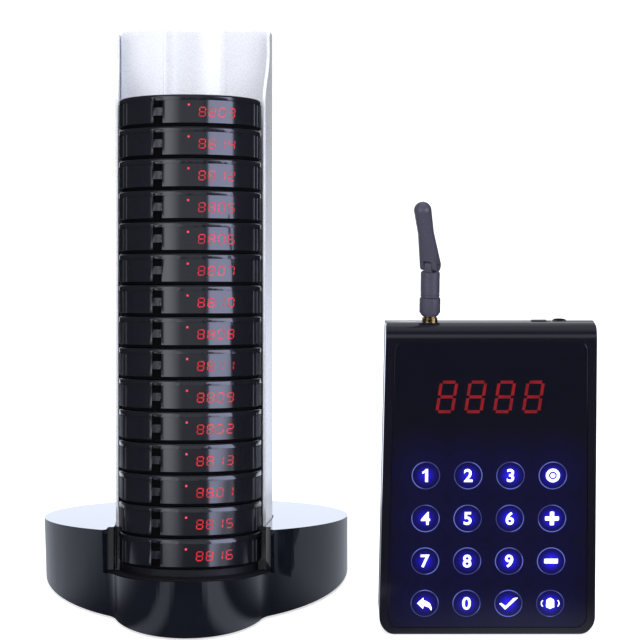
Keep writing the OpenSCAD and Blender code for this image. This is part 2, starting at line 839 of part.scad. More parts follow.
module antenna_socket() {
    lock_top = top_face_z(socket_y + socket_r) - console_wall - 0.15;
    color([0.85, 0.65, 0.3]) on_antenna() difference() {
        union() {
            translate([0, 0, socket_z - 12]) cylinder(r = thread_r, h = nut_z + 7.5 - socket_z + 12);
            translate([0, 0, socket_z]) cylinder(r = socket_r, h = nut_z - socket_z - 1.5);
            translate([0, 0, nut_z - 1.5]) cylinder(r = 3.9, h = 2);
            translate([0, 0, lock_top - 1.6]) cylinder(r = socket_r, h = 1.6, $fn = 6);
        }
        translate([0, 0, nut_z + 1]) cylinder(r = 2.2, h = 20);
    }
}

module antenna_nut() {
    ribs = 24;
    color([0.12, 0.12, 0.14]) on_antenna() difference() {
        union() {
            translate([0, 0, nut_z]) cylinder(d1 = nut_d - 2.4, d2 = nut_d - 0.4, h = 1.6);
            translate([0, 0, nut_z + 1.6]) cylinder(d = nut_d - 0.5, h = nut_h - 2.4);
            translate([0, 0, nut_z + nut_h - 0.8])
                cylinder(d1 = nut_d - 0.5, d2 = nut_d - 1.8, h = 0.8);
            for (i = [0 : ribs - 1]) rotate([0, 0, i * 360 / ribs])
                translate([nut_d / 2 - 0.45, -0.4, nut_z + 1.8]) cube([0.45, 0.8, nut_h - 2.8]);
        }
        translate([0, 0, nut_z - 1]) cylinder(r = thread_r + seat_gap, h = nut_h - 1);
        translate([0, 0, nut_z - 1]) cylinder(r = 4.1 + seat_gap, h = 2.2);
    }
}

module antenna_barrel() {
    color([0.12, 0.12, 0.14]) on_swivel() difference() {
        union() {
            translate([0, 0, barrel_z]) cylinder(d = barrel_d, h = barrel_h - 0.8);
            translate([0, 0, barrel_z + barrel_h - 0.8])
                cylinder(d1 = barrel_d, d2 = barrel_d - 1.6, h = 0.8);
            translate([-tongue_w / 2, -tongue_r, barrel_z + barrel_h - over])
                cube([tongue_w, 2 * tongue_r, pin_z - barrel_z - barrel_h]);
            translate([-tongue_w / 2, 0, pin_z]) rotate([0, 90, 0]) cylinder(r = tongue_r, h = tongue_w);
        }
        translate([-tongue_w, 0, pin_z]) rotate([0, 90, 0])
            cylinder(r = pin_d / 2 + 0.05, h = 2 * tongue_w);
        difference() {
            translate([0, 0, barrel_z + 1.2]) cylinder(d = barrel_d + 2, h = 0.6);
            translate([0, 0, barrel_z]) cylinder(d = barrel_d - 0.7, h = 4);
        }
    }
}

module antenna_pin() {
    color("silver") on_blade() translate([-fork_w / 2 + 0.4, 0, 0]) rotate([0, 90, 0])
        cylinder(r = pin_d / 2, h = fork_w - 0.8);
}

module antenna_paddle() {
    tip_r = 5.1;
    waist_z = blade_l * 0.52;
    color([0.12, 0.12, 0.14]) on_blade() difference() {
        union() {
            hull() {
                translate([0, 0, blade_l - tip_r]) sphere(r = tip_r, $fn = 28);
                translate([0, 0, waist_z]) scale([0.95, 0.8, 1]) sphere(r = tip_r, $fn = 28);
            }
            hull() {
                translate([0, 0, waist_z]) scale([0.95, 0.8, 1]) sphere(r = tip_r, $fn = 28);
                translate([0, 0, blade_l * 0.24]) scale([1, 0.68, 0.8]) sphere(r = fork_w / 2 + 0.5, $fn = 28);
                translate([-fork_w / 2, 0, 0]) rotate([0, 90, 0]) cylinder(r = 3.3, h = fork_w, $fn = 32);
            }
        }
        translate([-tongue_w / 2 - 0.3, -8, -8]) cube([tongue_w + 0.6, 16, 8 + 4.4]);
        translate([-fork_w, 0, 0]) rotate([0, 90, 0]) cylinder(r = pin_d / 2 + 0.02, h = 2 * fork_w);
    }
}

base_shell();
base_plate();
base_feet();
base_screws();
dock_insert();
dock_contacts();
charge_board();
tower_power_jack();
column_panel();
column_wing_left();
column_wing_right();
column_screws();
for (k = [1 : pager_count]) {
    pager_case(k);
    pager_cover(k);
}
pager_15_board();
pager_15_battery();
console_front_case();
console_back_case();
console_overlay();
key_light_guide();
digit_display();
console_board();
touch_pads();
console_power_switch();
console_power_jack();
console_feet();
console_screws();
antenna_socket();
antenna_nut();
antenna_barrel();
antenna_pin();
antenna_paddle();
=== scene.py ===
"""Looks of a guest pager system: charging tower, pager stack, keypad console and swivel antenna."""

import json
import logging
import math
from dataclasses import dataclass, field
from enum import Enum
from typing import Sequence

import bmesh
import bpy
from mathutils import Matrix, Vector


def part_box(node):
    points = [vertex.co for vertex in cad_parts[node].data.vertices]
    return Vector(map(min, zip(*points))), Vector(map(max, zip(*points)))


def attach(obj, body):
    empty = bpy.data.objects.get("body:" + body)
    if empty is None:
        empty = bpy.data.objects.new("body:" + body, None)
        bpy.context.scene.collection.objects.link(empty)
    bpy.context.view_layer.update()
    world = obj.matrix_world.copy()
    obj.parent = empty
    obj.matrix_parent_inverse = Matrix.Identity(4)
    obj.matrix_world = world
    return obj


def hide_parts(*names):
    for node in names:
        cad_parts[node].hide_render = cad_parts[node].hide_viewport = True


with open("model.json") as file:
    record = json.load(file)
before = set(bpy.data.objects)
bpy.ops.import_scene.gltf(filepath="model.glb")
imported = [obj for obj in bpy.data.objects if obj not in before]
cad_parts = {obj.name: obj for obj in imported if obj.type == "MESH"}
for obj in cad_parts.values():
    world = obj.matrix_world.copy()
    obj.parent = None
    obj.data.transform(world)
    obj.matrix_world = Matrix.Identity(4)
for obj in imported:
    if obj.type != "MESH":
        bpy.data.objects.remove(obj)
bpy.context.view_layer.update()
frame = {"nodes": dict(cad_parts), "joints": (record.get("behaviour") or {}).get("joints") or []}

LOG = logging.getLogger("guest_pagers")
MM = 0.001
UPRIGHT = Matrix.Rotation(math.pi / 2, 3, "X")
DUST_COLOUR = (0.42, 0.41, 0.4)
GRAIN_DEPTH = 0.02 * MM
UNEVEN_RANGE = (0.3, 0.7)
ROUGH_SWING = 0.12
FLAKE_SWING = 0.08
WELD = 0.0001 * MM
MERGE = 0.002 * MM
FLAT_DEG = 0.4
SHARP_DEG = 35.0
EDGE_BAND = 0.01 * MM
Colour = tuple[float, float, float]
Place = tuple[float, float, float]
Window = tuple[float, float, float]  # low, high and softness
Ramp = tuple[float, float, float, float]  # low, high, and the level at each
BMesh = bmesh.types.BMesh
Node = bpy.types.Node
Socket = bpy.types.NodeSocket
Tree = bpy.types.NodeTree


# ---------- Shader tools ----------


class Shader:
    """A material's node tree with short calls for adding and joining nodes."""

    def __init__(self, tree: Tree) -> None:
        """Takes the tree to build in.

        Args:
            tree: an empty shader or group tree.
        """
        self.tree = tree
        self.count = 0

    def add(self, kind: str, **settings: object) -> Node:
        """Adds a node.

        Args:
            kind: the node's type name.
            settings: values for the node's own properties.

        Returns:
            The new node.
        """
        node = self.tree.nodes.new(kind)
        node.location = (220 * (self.count % 8), -260 * (self.count // 8))
        self.count += 1
        for name, value in settings.items():
            setattr(node, name, value)
        return node

    def link(self, source: Socket, target: Socket) -> None:
        """Joins an output socket to an input socket."""
        self.tree.links.new(source, target)

    def feed(self, socket: Socket, value: object) -> None:
        """Sets a socket to a plain value, or joins it if the value is a socket.

        Args:
            socket: the input socket.
            value: a number, a tuple or an output socket.
        """
        if isinstance(value, Socket):
            self.link(value, socket)
        else:
            socket.default_value = value

    def math(self, operation: str, *values: object, clamp: bool = False) -> Socket:
        """Adds a Math node.

        Args:
            operation: the Math node's operation.
            values: numbers or sockets, in order.
            clamp: whether the result is held between 0 and 1.

        Returns:
            The node's output socket.
        """
        node = self.add("ShaderNodeMath", operation=operation, use_clamp=clamp)
        for socket, value in zip(node.inputs, values):
            self.feed(socket, value)
        return node.outputs[0]

    def ramp(self, value: object, low: float, high: float, to_low: float = 0.0, to_high: float = 1.0,
             smooth: bool = True) -> Socket:
        """Maps a value from one range to another, held at both ends.

        Args:
            value: the socket to map.
            low: the value that gives to_low.
            high: the value that gives to_high.
            to_low: the result at low.
            to_high: the result at high.
            smooth: whether the change is a smooth step.

        Returns:
            The mapped value's socket.
        """
        node = self.add("ShaderNodeMapRange", interpolation_type="SMOOTHSTEP" if smooth else "LINEAR")
        self.feed(node.inputs["Value"], value)
        node.inputs["From Min"].default_value = low
        node.inputs["From Max"].default_value = high
        node.inputs["To Min"].default_value = to_low
        node.inputs["To Max"].default_value = to_high
        return node.outputs["Result"]

    def blend(self, share: object, first: object, second: object) -> Socket:
        """Mixes two colours.

        Args:
            share: how much of the second colour shows.
            first: a colour tuple of three, or a socket.
            second: a colour tuple of three, or a socket.

        Returns:
            The mixed colour's socket.
        """
        node = self.add("ShaderNodeMix", data_type="RGBA")
        self.feed(node.inputs["Factor"], share)
        for socket, value in ((node.inputs["A"], first), (node.inputs["B"], second)):
            self.feed(socket, (*value, 1.0) if isinstance(value, tuple) else value)
        return node.outputs["Result"]

    def noise(self, scale: float, detail: float) -> Socket:
        """Adds a noise pattern on Object coordinates.

        Args:
            scale: cells per metre.
            detail: octaves of finer noise.

        Returns:
            The noise value's socket.
        """
        node = self.add("ShaderNodeTexNoise")
        self.link(self.place(), node.inputs["Vector"])
        node.inputs["Scale"].default_value = scale
        node.inputs["Detail"].default_value = detail
        return node.outputs["Fac"]

    def cells(self, scale: Socket) -> Node:
        """Adds a cell pattern on Object coordinates.

        Args:
            scale: cells per metre.

        Returns:
            The pattern's node.
        """
        node = self.add("ShaderNodeTexVoronoi")
        self.link(self.place(), node.inputs["Vector"])
        self.link(scale, node.inputs["Scale"])
        return node

    def place(self) -> Socket:
        """Returns the Object coordinates' socket."""
        return self.add("ShaderNodeTexCoord").outputs["Object"]

    def axes(self, vector: Socket) -> tuple[Socket, ...]:
        """Splits a vector.

        Args:
            vector: the vector's socket.

        Returns:
            The sockets of x, y and z.
        """
        node = self.add("ShaderNodeSeparateXYZ")
        self.link(vector, node.inputs[0])
        return tuple(node.outputs)

    def chain(self, operation: str, *values: object) -> Socket:
        """Joins any number of values with one operation.

        Args:
            operation: the Math nodes' operation, such as ADD or MAXIMUM.
            values: two or more numbers or sockets, in order.

        Returns:
            The last node's output socket.
        """
        result = values[0]
        for value in values[1:]:
            result = self.math(operation, result, value)
        return result

    def distance(self, first: Socket, second: Socket) -> Socket:
        """Returns the distance that two sides at a right angle span."""
        squares = [self.math("MULTIPLY", side, side) for side in (first, second)]
        return self.math("SQRT", self.math("ADD", *squares))

    def window(self, value: Socket, low: float, high: float, soft: float) -> Socket:
        """Lets a range of values through, with soft edges.

        Args:
            value: the socket to test, such as an angle's.
            low: where the window starts.
            high: where it ends.
            soft: width of its soft edges.

        Returns:
            The window's socket, 0 to 1.
        """
        rise = self.ramp(value, low - soft / 2, low + soft / 2)
        fall = self.ramp(value, high - soft / 2, high + soft / 2, 1.0, 0.0)
        return self.math("MULTIPLY", rise, fall)


def fresh_shader(owner: bpy.types.Material | bpy.types.World) -> Shader:
    """Empties the node tree of a material or world and returns its shader."""
    owner.use_nodes = True
    owner.node_tree.nodes.clear()
    return Shader(owner.node_tree)


class Effect(Enum):
    """The shared effects, each a node group that is built once."""

    GRAIN = "moulded_grain"
    DUST = "settled_dust"
    FLAKE = "paint_flake"


class Effects:
    """Builds the shared node groups and places them in materials."""

    def __init__(self) -> None:
        """Starts with no group built."""
        self.groups: dict[Effect, Tree] = {}

    def place(self, shader: Shader, effect: Effect, **values: float) -> Node:
        """Places a group in a material.

        Args:
            shader: the material's shader.
            effect: which group.
            values: the group's inputs by name, with _ for a space.

        Returns:
            The group node.
        """
        if effect not in self.groups:
            self.groups[effect] = getattr(self, effect.value)()
        node = shader.add("ShaderNodeGroup", node_tree=self.groups[effect])
        for name, value in values.items():
            node.inputs[name.replace("_", " ")].default_value = value
        return node

    @staticmethod
    def group(effect: Effect, inputs: dict[str, float], outputs: Sequence[str]) -> tuple:
        """Starts an empty group.

        Args:
            effect: which group.
            inputs: names and usual values of its number inputs.
            outputs: names of its number outputs.

        Returns:
            The shader, the group's input node and its output node.
        """
        tree = bpy.data.node_groups.new(effect.value, "ShaderNodeTree")
        for name, value in inputs.items():
            made = tree.interface.new_socket(name, in_out="INPUT", socket_type="NodeSocketFloat")
            made.default_value = value
        for name in outputs:
            tree.interface.new_socket(name, in_out="OUTPUT", socket_type="NodeSocketFloat")
        shader = Shader(tree)
        return shader, shader.add("NodeGroupInput"), shader.add("NodeGroupOutput")

    def moulded_grain(self) -> Tree:
        """Fine texture of a moulded surface: a height and a slow unevenness.

        Returns:
            The group's tree.
        """
        shader, source, result = self.group(
            Effect.GRAIN, {"Fine Scale": 3000.0, "Slow Scale": 25.0}, ("Height", "Unevenness"))
        fine = shader.add("ShaderNodeTexNoise")
        slow = shader.add("ShaderNodeTexNoise")
        for node, name in ((fine, "Fine Scale"), (slow, "Slow Scale")):
            shader.link(shader.place(), node.inputs["Vector"])
            shader.link(source.outputs[name], node.inputs["Scale"])
        fine.inputs["Detail"].default_value = 2.0
        slow.inputs["Detail"].default_value = 4.0
        shader.link(fine.outputs["Fac"], result.inputs["Height"])
        shader.link(slow.outputs["Fac"], result.inputs["Unevenness"])
        return shader.tree

    def settled_dust(self) -> Tree:
        """Sparse specks and a faint film on faces that look up.

        Returns:
            The group's tree.
        """
        shader, source, result = self.group(
            Effect.DUST, {"Scale": 700.0, "Amount": 0.3}, ("Mask",))
        cells = shader.cells(source.outputs["Scale"])
        specks = shader.ramp(cells.outputs["Distance"], 0.16, 0.08)
        rare = shader.ramp(shader.noise(90.0, 5.0), 0.56, 0.7)
        normal = shader.axes(shader.add("ShaderNodeTexCoord").outputs["Normal"])
        upward = shader.ramp(normal[2], 0.3, 0.9, 0.12, 1.0)
        shown = shader.chain("MULTIPLY", specks, rare, upward)
        mask = shader.math("MULTIPLY", shown, source.outputs["Amount"], clamp=True)
        shader.link(mask, result.inputs["Mask"])
        return shader.tree

    def paint_flake(self) -> Tree:
        """Glitter of silver paint: a value that differs from flake to flake.

        Returns:
            The group's tree.
        """
        shader, source, result = self.group(Effect.FLAKE, {"Scale": 4200.0}, ("Flake", "Cloud"))
        cells = shader.cells(source.outputs["Scale"])
        split = shader.add("ShaderNodeSeparateColor")
        shader.link(cells.outputs["Color"], split.inputs[0])
        shader.link(split.outputs[0], result.inputs["Flake"])
        shader.link(shader.noise(14.0, 4.0), result.inputs["Cloud"])
        return shader.tree


EFFECTS = Effects()
MATERIALS: dict[str, bpy.types.Material] = {}


@dataclass(frozen=True)
class Finish:
    """A moulded or metal finish, with grain, unevenness and a little dust."""

    name: str
    slot: str
    colour: Colour
    roughness: float
    metallic: float = 0.0
    coat: float = 0.0
    coat_roughness: float = 0.03
    ior: float = 1.5
    grain: float = 0.1
    grain_scale: float = 3000.0
    uneven: float = 0.06
    dust: float = 0.25

    def material(self) -> bpy.types.Material:
        """Builds the material once and returns it on later calls.

        Returns:
            The finish's material.
        """
        if self.name not in MATERIALS:
            made = bpy.data.materials.new(self.name)
            made.diffuse_color = (*self.colour, 1.0)
            self.build(fresh_shader(made))
            MATERIALS[self.name] = made
        return MATERIALS[self.name]

    def build(self, shader: Shader) -> Node:
        """Adds the nodes of the finish.

        Args:
            shader: the material's shader.

        Returns:
            The Principled node, for finishes that add to it.
        """
        base = shader.add("ShaderNodeBsdfPrincipled")
        out = shader.add("ShaderNodeOutputMaterial")
        shader.link(base.outputs["BSDF"], out.inputs["Surface"])
        grain = EFFECTS.place(shader, Effect.GRAIN, Fine_Scale=self.grain_scale, Slow_Scale=22.0)
        dust = EFFECTS.place(shader, Effect.DUST, Amount=self.dust)
        tone = shader.ramp(grain.outputs["Unevenness"], *UNEVEN_RANGE, 0.0, self.uneven)
        lighter = tuple(min(1.0, c * 1.5 + 0.004) for c in self.colour)
        coloured = shader.blend(tone, self.colour, lighter)
        dusty = shader.blend(dust.outputs["Mask"], coloured, DUST_COLOUR)
        shader.link(dusty, base.inputs["Base Color"])
        rough = shader.ramp(grain.outputs["Unevenness"], 0.25, 0.75, self.roughness * (1 - ROUGH_SWING),
                            min(1.0, self.roughness * (1 + ROUGH_SWING)))
        dulled = shader.math("MULTIPLY", dust.outputs["Mask"], 0.4)
        shader.link(shader.math("ADD", rough, dulled, clamp=True), base.inputs["Roughness"])
        bump = shader.add("ShaderNodeBump")
        bump.inputs["Strength"].default_value = self.grain
        bump.inputs["Distance"].default_value = GRAIN_DEPTH
        shader.link(grain.outputs["Height"], bump.inputs["Height"])
        shader.link(bump.outputs["Normal"], base.inputs["Normal"])
        base.inputs["Metallic"].default_value = self.metallic
        base.inputs["IOR"].default_value = self.ior
        base.inputs["Coat Weight"].default_value = self.coat
        base.inputs["Coat Roughness"].default_value = self.coat_roughness
        return base


@dataclass(frozen=True)
class SilverPaint(Finish):
    """Satin silver paint with fine flakes."""

    def build(self, shader: Shader) -> Node:
        """Adds flakes to the plain finish.

        Args:
            shader: the material's shader.

        Returns:
            The Principled node.
        """
        base = super().build(shader)
        flakes = EFFECTS.place(shader, Effect.FLAKE)
        cloud = shader.ramp(flakes.outputs["Cloud"], *UNEVEN_RANGE)
        tone = shader.math("MULTIPLY_ADD", flakes.outputs["Flake"], 0.25, cloud)
        darker = tuple(c * 0.95 for c in self.colour)
        shader.link(shader.blend(tone, darker, self.colour), base.inputs["Base Color"])
        rough = shader.ramp(flakes.outputs["Flake"], 0.0, 1.0, self.roughness * (1 - FLAKE_SWING),
                            self.roughness * (1 + FLAKE_SWING))
        shader.link(rough, base.inputs["Roughness"])
        return base


@dataclass(frozen=True)
class PagerSatin(Finish):
    """The pager's lower case: satin outside, with painted shade inside its recesses: matt and near black
    there.
    """

    axis_at: Place = (0.0, 0.0, 0.0)
    axis: Place = (0.0, 0.0, 1.0)
    # Painted shade in the recesses: full inside the first radius, gone outside the second, in its own
    # near-black colour.
    shade_full_r: float = 42.7 * MM
    shade_clear_r: float = 43.4 * MM
    recess_shade_colour: Colour = (0.0006, 0.0006, 0.001)

    def build(self, shader: Shader) -> Node:
        """Adds painted shade in the recesses, found by their distance from the stack's axis.

        Args:
            shader: the material's shader.

        Returns:
            The Principled node.
        """
        base = super().build(shader)
        offset = shader.add("ShaderNodeVectorMath", operation="SUBTRACT")
        shader.link(shader.place(), offset.inputs[0])
        offset.inputs[1].default_value = self.axis_at
        along = shader.add("ShaderNodeVectorMath", operation="DOT_PRODUCT")
        shader.link(offset.outputs[0], along.inputs[0])
        along.inputs[1].default_value = self.axis
        whole = shader.add("ShaderNodeVectorMath", operation="LENGTH")
        shader.link(offset.outputs[0], whole.inputs[0])
        squares = [shader.math("POWER", node.outputs["Value"], 2.0) for node in (whole, along)]
        radius = shader.math("SQRT", shader.math("SUBTRACT", *squares))
        # Painted shade: near black and rougher where the surface lies inside the recesses' radius.
        recess_shade = shader.ramp(radius, self.shade_full_r, self.shade_clear_r, 1.0, 0.0)
        colour = base.inputs["Base Color"].links[0].from_socket
        rough = base.inputs["Roughness"].links[0].from_socket
        shader.link(shader.blend(recess_shade, colour, self.recess_shade_colour), base.inputs["Base Color"])
        shader.link(shader.math("ADD", rough, shader.math("MULTIPLY", recess_shade, 0.5), clamp=True),
                    base.inputs["Roughness"])
        return base


@dataclass(frozen=True)
class Glow(Finish):
    """A lit mark or a painted reflection: a light colour that wavers between two tones."""

    glow: Colour = (1.0, 1.0, 1.0)
    glow_dim: Colour = (0.5, 0.5, 0.5)
    waver_scale: float = 60.0

    def build(self, shader: Shader) -> Node:
        """Adds the light to the plain finish.

        Args:
            shader: the material's shader.

        Returns:
            The Principled node.
        """
        base = super().build(shader)
        waver = shader.ramp(shader.noise(self.waver_scale, 1.0), 0.4, 0.6)
        shader.link(shader.blend(waver, self.glow_dim, self.glow), base.inputs["Emission Color"])
        base.inputs["Emission Strength"].default_value = 1.0
        return base


@dataclass(frozen=True)
class KeyGlass(Finish):
    """The touch overlay: smoked, with a blue glow behind each key and a faint one over the key field."""

    first_key: Vector = field(default_factory=Vector)
    pitch: tuple[float, float] = (25.0 * MM, 26.2 * MM)
    last_key: int = 3
    halo_r: float = 9.6 * MM
    halo_falloff: float = 2.6
    halo_columns: tuple[float, float] = (1.1, 2.0)
    halo: Colour = (0.022, 0.012, 1.0)
    field_reach: tuple[float, float] = (34.0 * MM, 6.0 * MM)
    field_tint: Colour = (0.0012, 0.0006, 0.024)

    def distance_to_key(self, shader: Shader, value: object, first: float, pitch: float) -> Socket:
        """Distance along one axis from the nearest key's middle.

        Args:
            shader: the material's shader.
            value: the coordinate's socket.
            first: place of the first key's middle, in metres.
            pitch: distance from key to key, in metres.

        Returns:
            The distance's socket, in metres.
        """
        steps = shader.math("DIVIDE", shader.math("SUBTRACT", value, first), pitch)
        whole = shader.math("MAXIMUM", shader.math("ROUND", steps), 0.0)
        nearest = shader.math("MINIMUM", whole, float(self.last_key))
        return shader.math("MULTIPLY", shader.math("SUBTRACT", steps, nearest), pitch)

    def build(self, shader: Shader) -> Node:
        """Adds the key glow to the plain finish.

        Args:
            shader: the material's shader.

        Returns:
            The Principled node.
        """
        base = super().build(shader)
        x, _, z = shader.axes(shader.place())
        across = self.distance_to_key(shader, x, self.first_key.x, self.pitch[0])
        up = self.distance_to_key(shader, z, self.first_key.z, self.pitch[1])
        away = shader.distance(across, up)
        near = shader.math("POWER", shader.ramp(away, self.halo_r, 0.0, smooth=False), self.halo_falloff)
        last_x = self.first_key.x + self.last_key * self.pitch[0]
        column = shader.ramp(x, self.first_key.x, last_x, *self.halo_columns)
        halo = shader.math("MULTIPLY", near, column, clamp=True)
        tint = shader.ramp(away, *self.field_reach)
        glow = shader.blend(tint, (0.0, 0.0, 0.0), self.field_tint)
        shader.link(shader.blend(halo, glow, self.halo), base.inputs["Emission Color"])
        base.inputs["Emission Strength"].default_value = 1.0
        return base


class Finishes:
    """Every finish of the object."""

    TOWER_GLOSS = Finish("tower_gloss_black", "tower_gloss", (0.005, 0.006, 0.011), 0.09, coat=1.0,
                         grain=0.02, grain_scale=900.0, dust=0.18)
    PAGER_GLOSS = Finish("pager_gloss_black", "pager_gloss", (0.009, 0.009, 0.014), 0.16, coat=0.7,
                         coat_roughness=0.08, grain=0.03, grain_scale=900.0, dust=0.08)
    CONSOLE_GLOSS = Finish("console_gloss_black", "console_gloss", (0.007, 0.007, 0.013), 0.14, coat=0.9,
                           coat_roughness=0.06, grain=0.04, grain_scale=1200.0, dust=0.1)
    BLACK_PLASTIC = Finish("textured_black_plastic", "black_plastic", (0.022, 0.022, 0.027), 0.48,
                           grain=0.55, grain_scale=2200.0, dust=0.2)
    DOCK_MATT = Finish("dock_matt_black", "dock_matt", (0.006, 0.006, 0.009), 0.6, grain=0.5,
                       grain_scale=1800.0, dust=0.15)
    SILVER = SilverPaint("satin_silver_paint", "column_silver", (0.89, 0.915, 0.98), 0.28, metallic=0.22,
                         grain=0.1, grain_scale=3500.0, dust=0.0)
    RUBBER = Finish("black_rubber", "rubber_black", (0.02, 0.02, 0.02), 0.72, grain=0.6,
                    grain_scale=1500.0, dust=0.5)
    STEEL = Finish("zinc_steel", "screw_steel", (0.6, 0.61, 0.63), 0.3, metallic=1.0, grain=0.25,
                   grain_scale=1800.0, dust=0.0)
    GOLD = Finish("gold_plating", "contact_gold", (0.86, 0.62, 0.26), 0.18, metallic=1.0, grain=0.1,
                  grain_scale=1500.0, dust=0.0)
    BOARD = Finish("green_laminate", "circuit_board", (0.02, 0.12, 0.05), 0.4, grain=0.2,
                   grain_scale=900.0, dust=0.1)
    INLET = Finish("inlet_satin_black", "inlet_black", (0.012, 0.012, 0.014), 0.4, grain=0.3,
                   grain_scale=2500.0, dust=0.1)
    CELL = Finish("cell_foil", "cell_can", (0.7, 0.72, 0.75), 0.35, metallic=1.0, grain=0.4,
                  grain_scale=500.0, dust=0.0)
    GUIDE = Finish("milky_guide", "light_guide", (0.82, 0.83, 0.88), 0.5, grain=0.1, dust=0.0)
    COPPER = Finish("tinned_copper", "pad_copper", (0.75, 0.5, 0.36), 0.35, metallic=1.0, dust=0.0)
    ANTENNA = Finish("violet_grey_satin", "antenna_satin", (0.06, 0.059, 0.088), 0.27, grain=0.2,
                     grain_scale=2400.0, dust=0.05)
    PAGER_RED = Glow("pager_red_light", "pager_gloss", (0.1, 0.004, 0.006), 0.3, dust=0.0,
                     glow=(0.8, 0.02, 0.035), glow_dim=(0.42, 0.008, 0.016), waver_scale=260.0)
    PAGER_LAMP = Glow("pager_lamp_light", "pager_gloss", (0.1, 0.004, 0.006), 0.3, dust=0.0,
                      glow=(1.0, 0.09, 0.13), glow_dim=(0.9, 0.04, 0.07), waver_scale=300.0)
    DISPLAY_RED = Glow("display_red_light", "display_red", (0.1, 0.004, 0.006), 0.3, dust=0.0,
                       glow=(0.17, 0.0008, 0.003), glow_dim=(0.1, 0.0, 0.0015), waver_scale=110.0)
    # Painted reflection: the rings glow where the key light is mirrored in the groove round each key.
    KEY_RING_REFLECTION = Glow("key_ring_painted_reflection", "light_guide", (0.02, 0.02, 0.05), 0.3, dust=0.0,
                    glow=(0.11, 0.15, 0.58), glow_dim=(0.022, 0.027, 0.14), waver_scale=75.0)
    KEY_MARK = Glow("key_mark_light", "light_guide", (0.7, 0.7, 0.8), 0.3, dust=0.0,
                    glow=(1.0, 1.0, 1.0), glow_dim=(0.85, 0.88, 1.0), waver_scale=120.0)


# ---------- Mesh tools ----------


def placed(name: str, data: bpy.types.ID) -> bpy.types.Object:
    """Puts a mesh, curve, lamp or lens in the scene as an object."""
    holder = bpy.data.objects.new(name, data)
    bpy.context.scene.collection.objects.link(holder)
    return holder


def to_mesh(name: str, bm: BMesh) -> bpy.types.Mesh:
    """Writes a bmesh to a new mesh and frees it."""
    mesh = bpy.data.meshes.new(name)
    bm.to_mesh(mesh)
    bm.free()
    return mesh


def paint(mesh: bpy.types.Mesh, finish: Finish) -> None:
    """Gives a mesh its one material."""
    mesh.materials.clear()
    mesh.materials.append(finish.material())


def linked(name: str, mesh: bpy.types.Mesh, finish: Finish, body: str) -> bpy.types.Object:
    """Makes a piece from a mesh and lets it ride on a body.

    Args:
        name: the piece's name.
        mesh: its mesh, in the row frame.
        finish: its finish.
        body: the body that it moves with.

    Returns:
        The new object.
    """
    piece = placed(name, mesh)
    paint(mesh, finish)
    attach(piece, body)
    LOG.info("made %s on %s", name, body)
    return piece


def from_bmesh(name: str, bm: BMesh, finish: Finish, body: str) -> bpy.types.Object:
    """Turns a bmesh into a finished piece and frees it.

    Args:
        name: the piece's name.
        bm: the geometry, in the row frame.
        finish: its finish.
        body: the body that it moves with.

    Returns:
        The new object.
    """
    bmesh.ops.remove_doubles(bm, verts=bm.verts, dist=WELD)
    bmesh.ops.recalc_face_normals(bm, faces=bm.faces)
    mesh = to_mesh(name, bm)
    mesh.shade_smooth()
    mesh.set_sharp_from_angle(angle=math.radians(SHARP_DEG))
    return linked(name, mesh, finish, body)


def join(target: BMesh, part: BMesh) -> None:
    """Adds a bmesh to another and frees it."""
    mesh = to_mesh("joined", part)
    target.from_mesh(mesh)
    bpy.data.meshes.remove(mesh)


@dataclass
class EdgedNode:
    """A rigid node whose edges get the small round that a moulded or cut piece has."""

    node: str
    body: str
    finish: Finish
    edge: float = 0.4 * MM
    segments: int = 3
    angle: float = 34.0

    def build(self) -> bpy.types.Object:
        """Copies the node's mesh, merges it, and rounds its edges with a live Bevel.

        Returns:
            The piece that stands for the node.
        """
        bm = bmesh.new()
        bm.from_mesh(frame["nodes"][self.node].data)
        bmesh.ops.remove_doubles(bm, verts=bm.verts, dist=MERGE)
        bmesh.ops.dissolve_limit(bm, angle_limit=math.radians(FLAT_DEG), use_dissolve_boundaries=False,
                                 verts=bm.verts, edges=bm.edges)
        mesh = to_mesh(self.node + "_edged", bm)
        mesh.shade_smooth()
        mesh.set_sharp_from_angle(angle=math.radians(self.angle))
        piece = linked(self.node + "_edged", mesh, self.finish, self.body)
        bevel = piece.modifiers.new("small_round", "BEVEL")
        bevel.width = self.edge
        bevel.segments = self.segments
        bevel.limit_method = "ANGLE"
        bevel.angle_limit = math.radians(self.angle)
        bevel.miter_outer = "MITER_ARC"
        bevel.harden_normals = True
        bevel.use_clamp_overlap = True
        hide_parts(self.node)
        return piece


def dress(node: str, finish: Finish) -> None:
    """Gives a node its finish and leaves its mesh alone."""
    paint(frame["nodes"][node].data, finish)
    LOG.info("dressed %s", node)


# ---------- Seven-segment numbers ----------


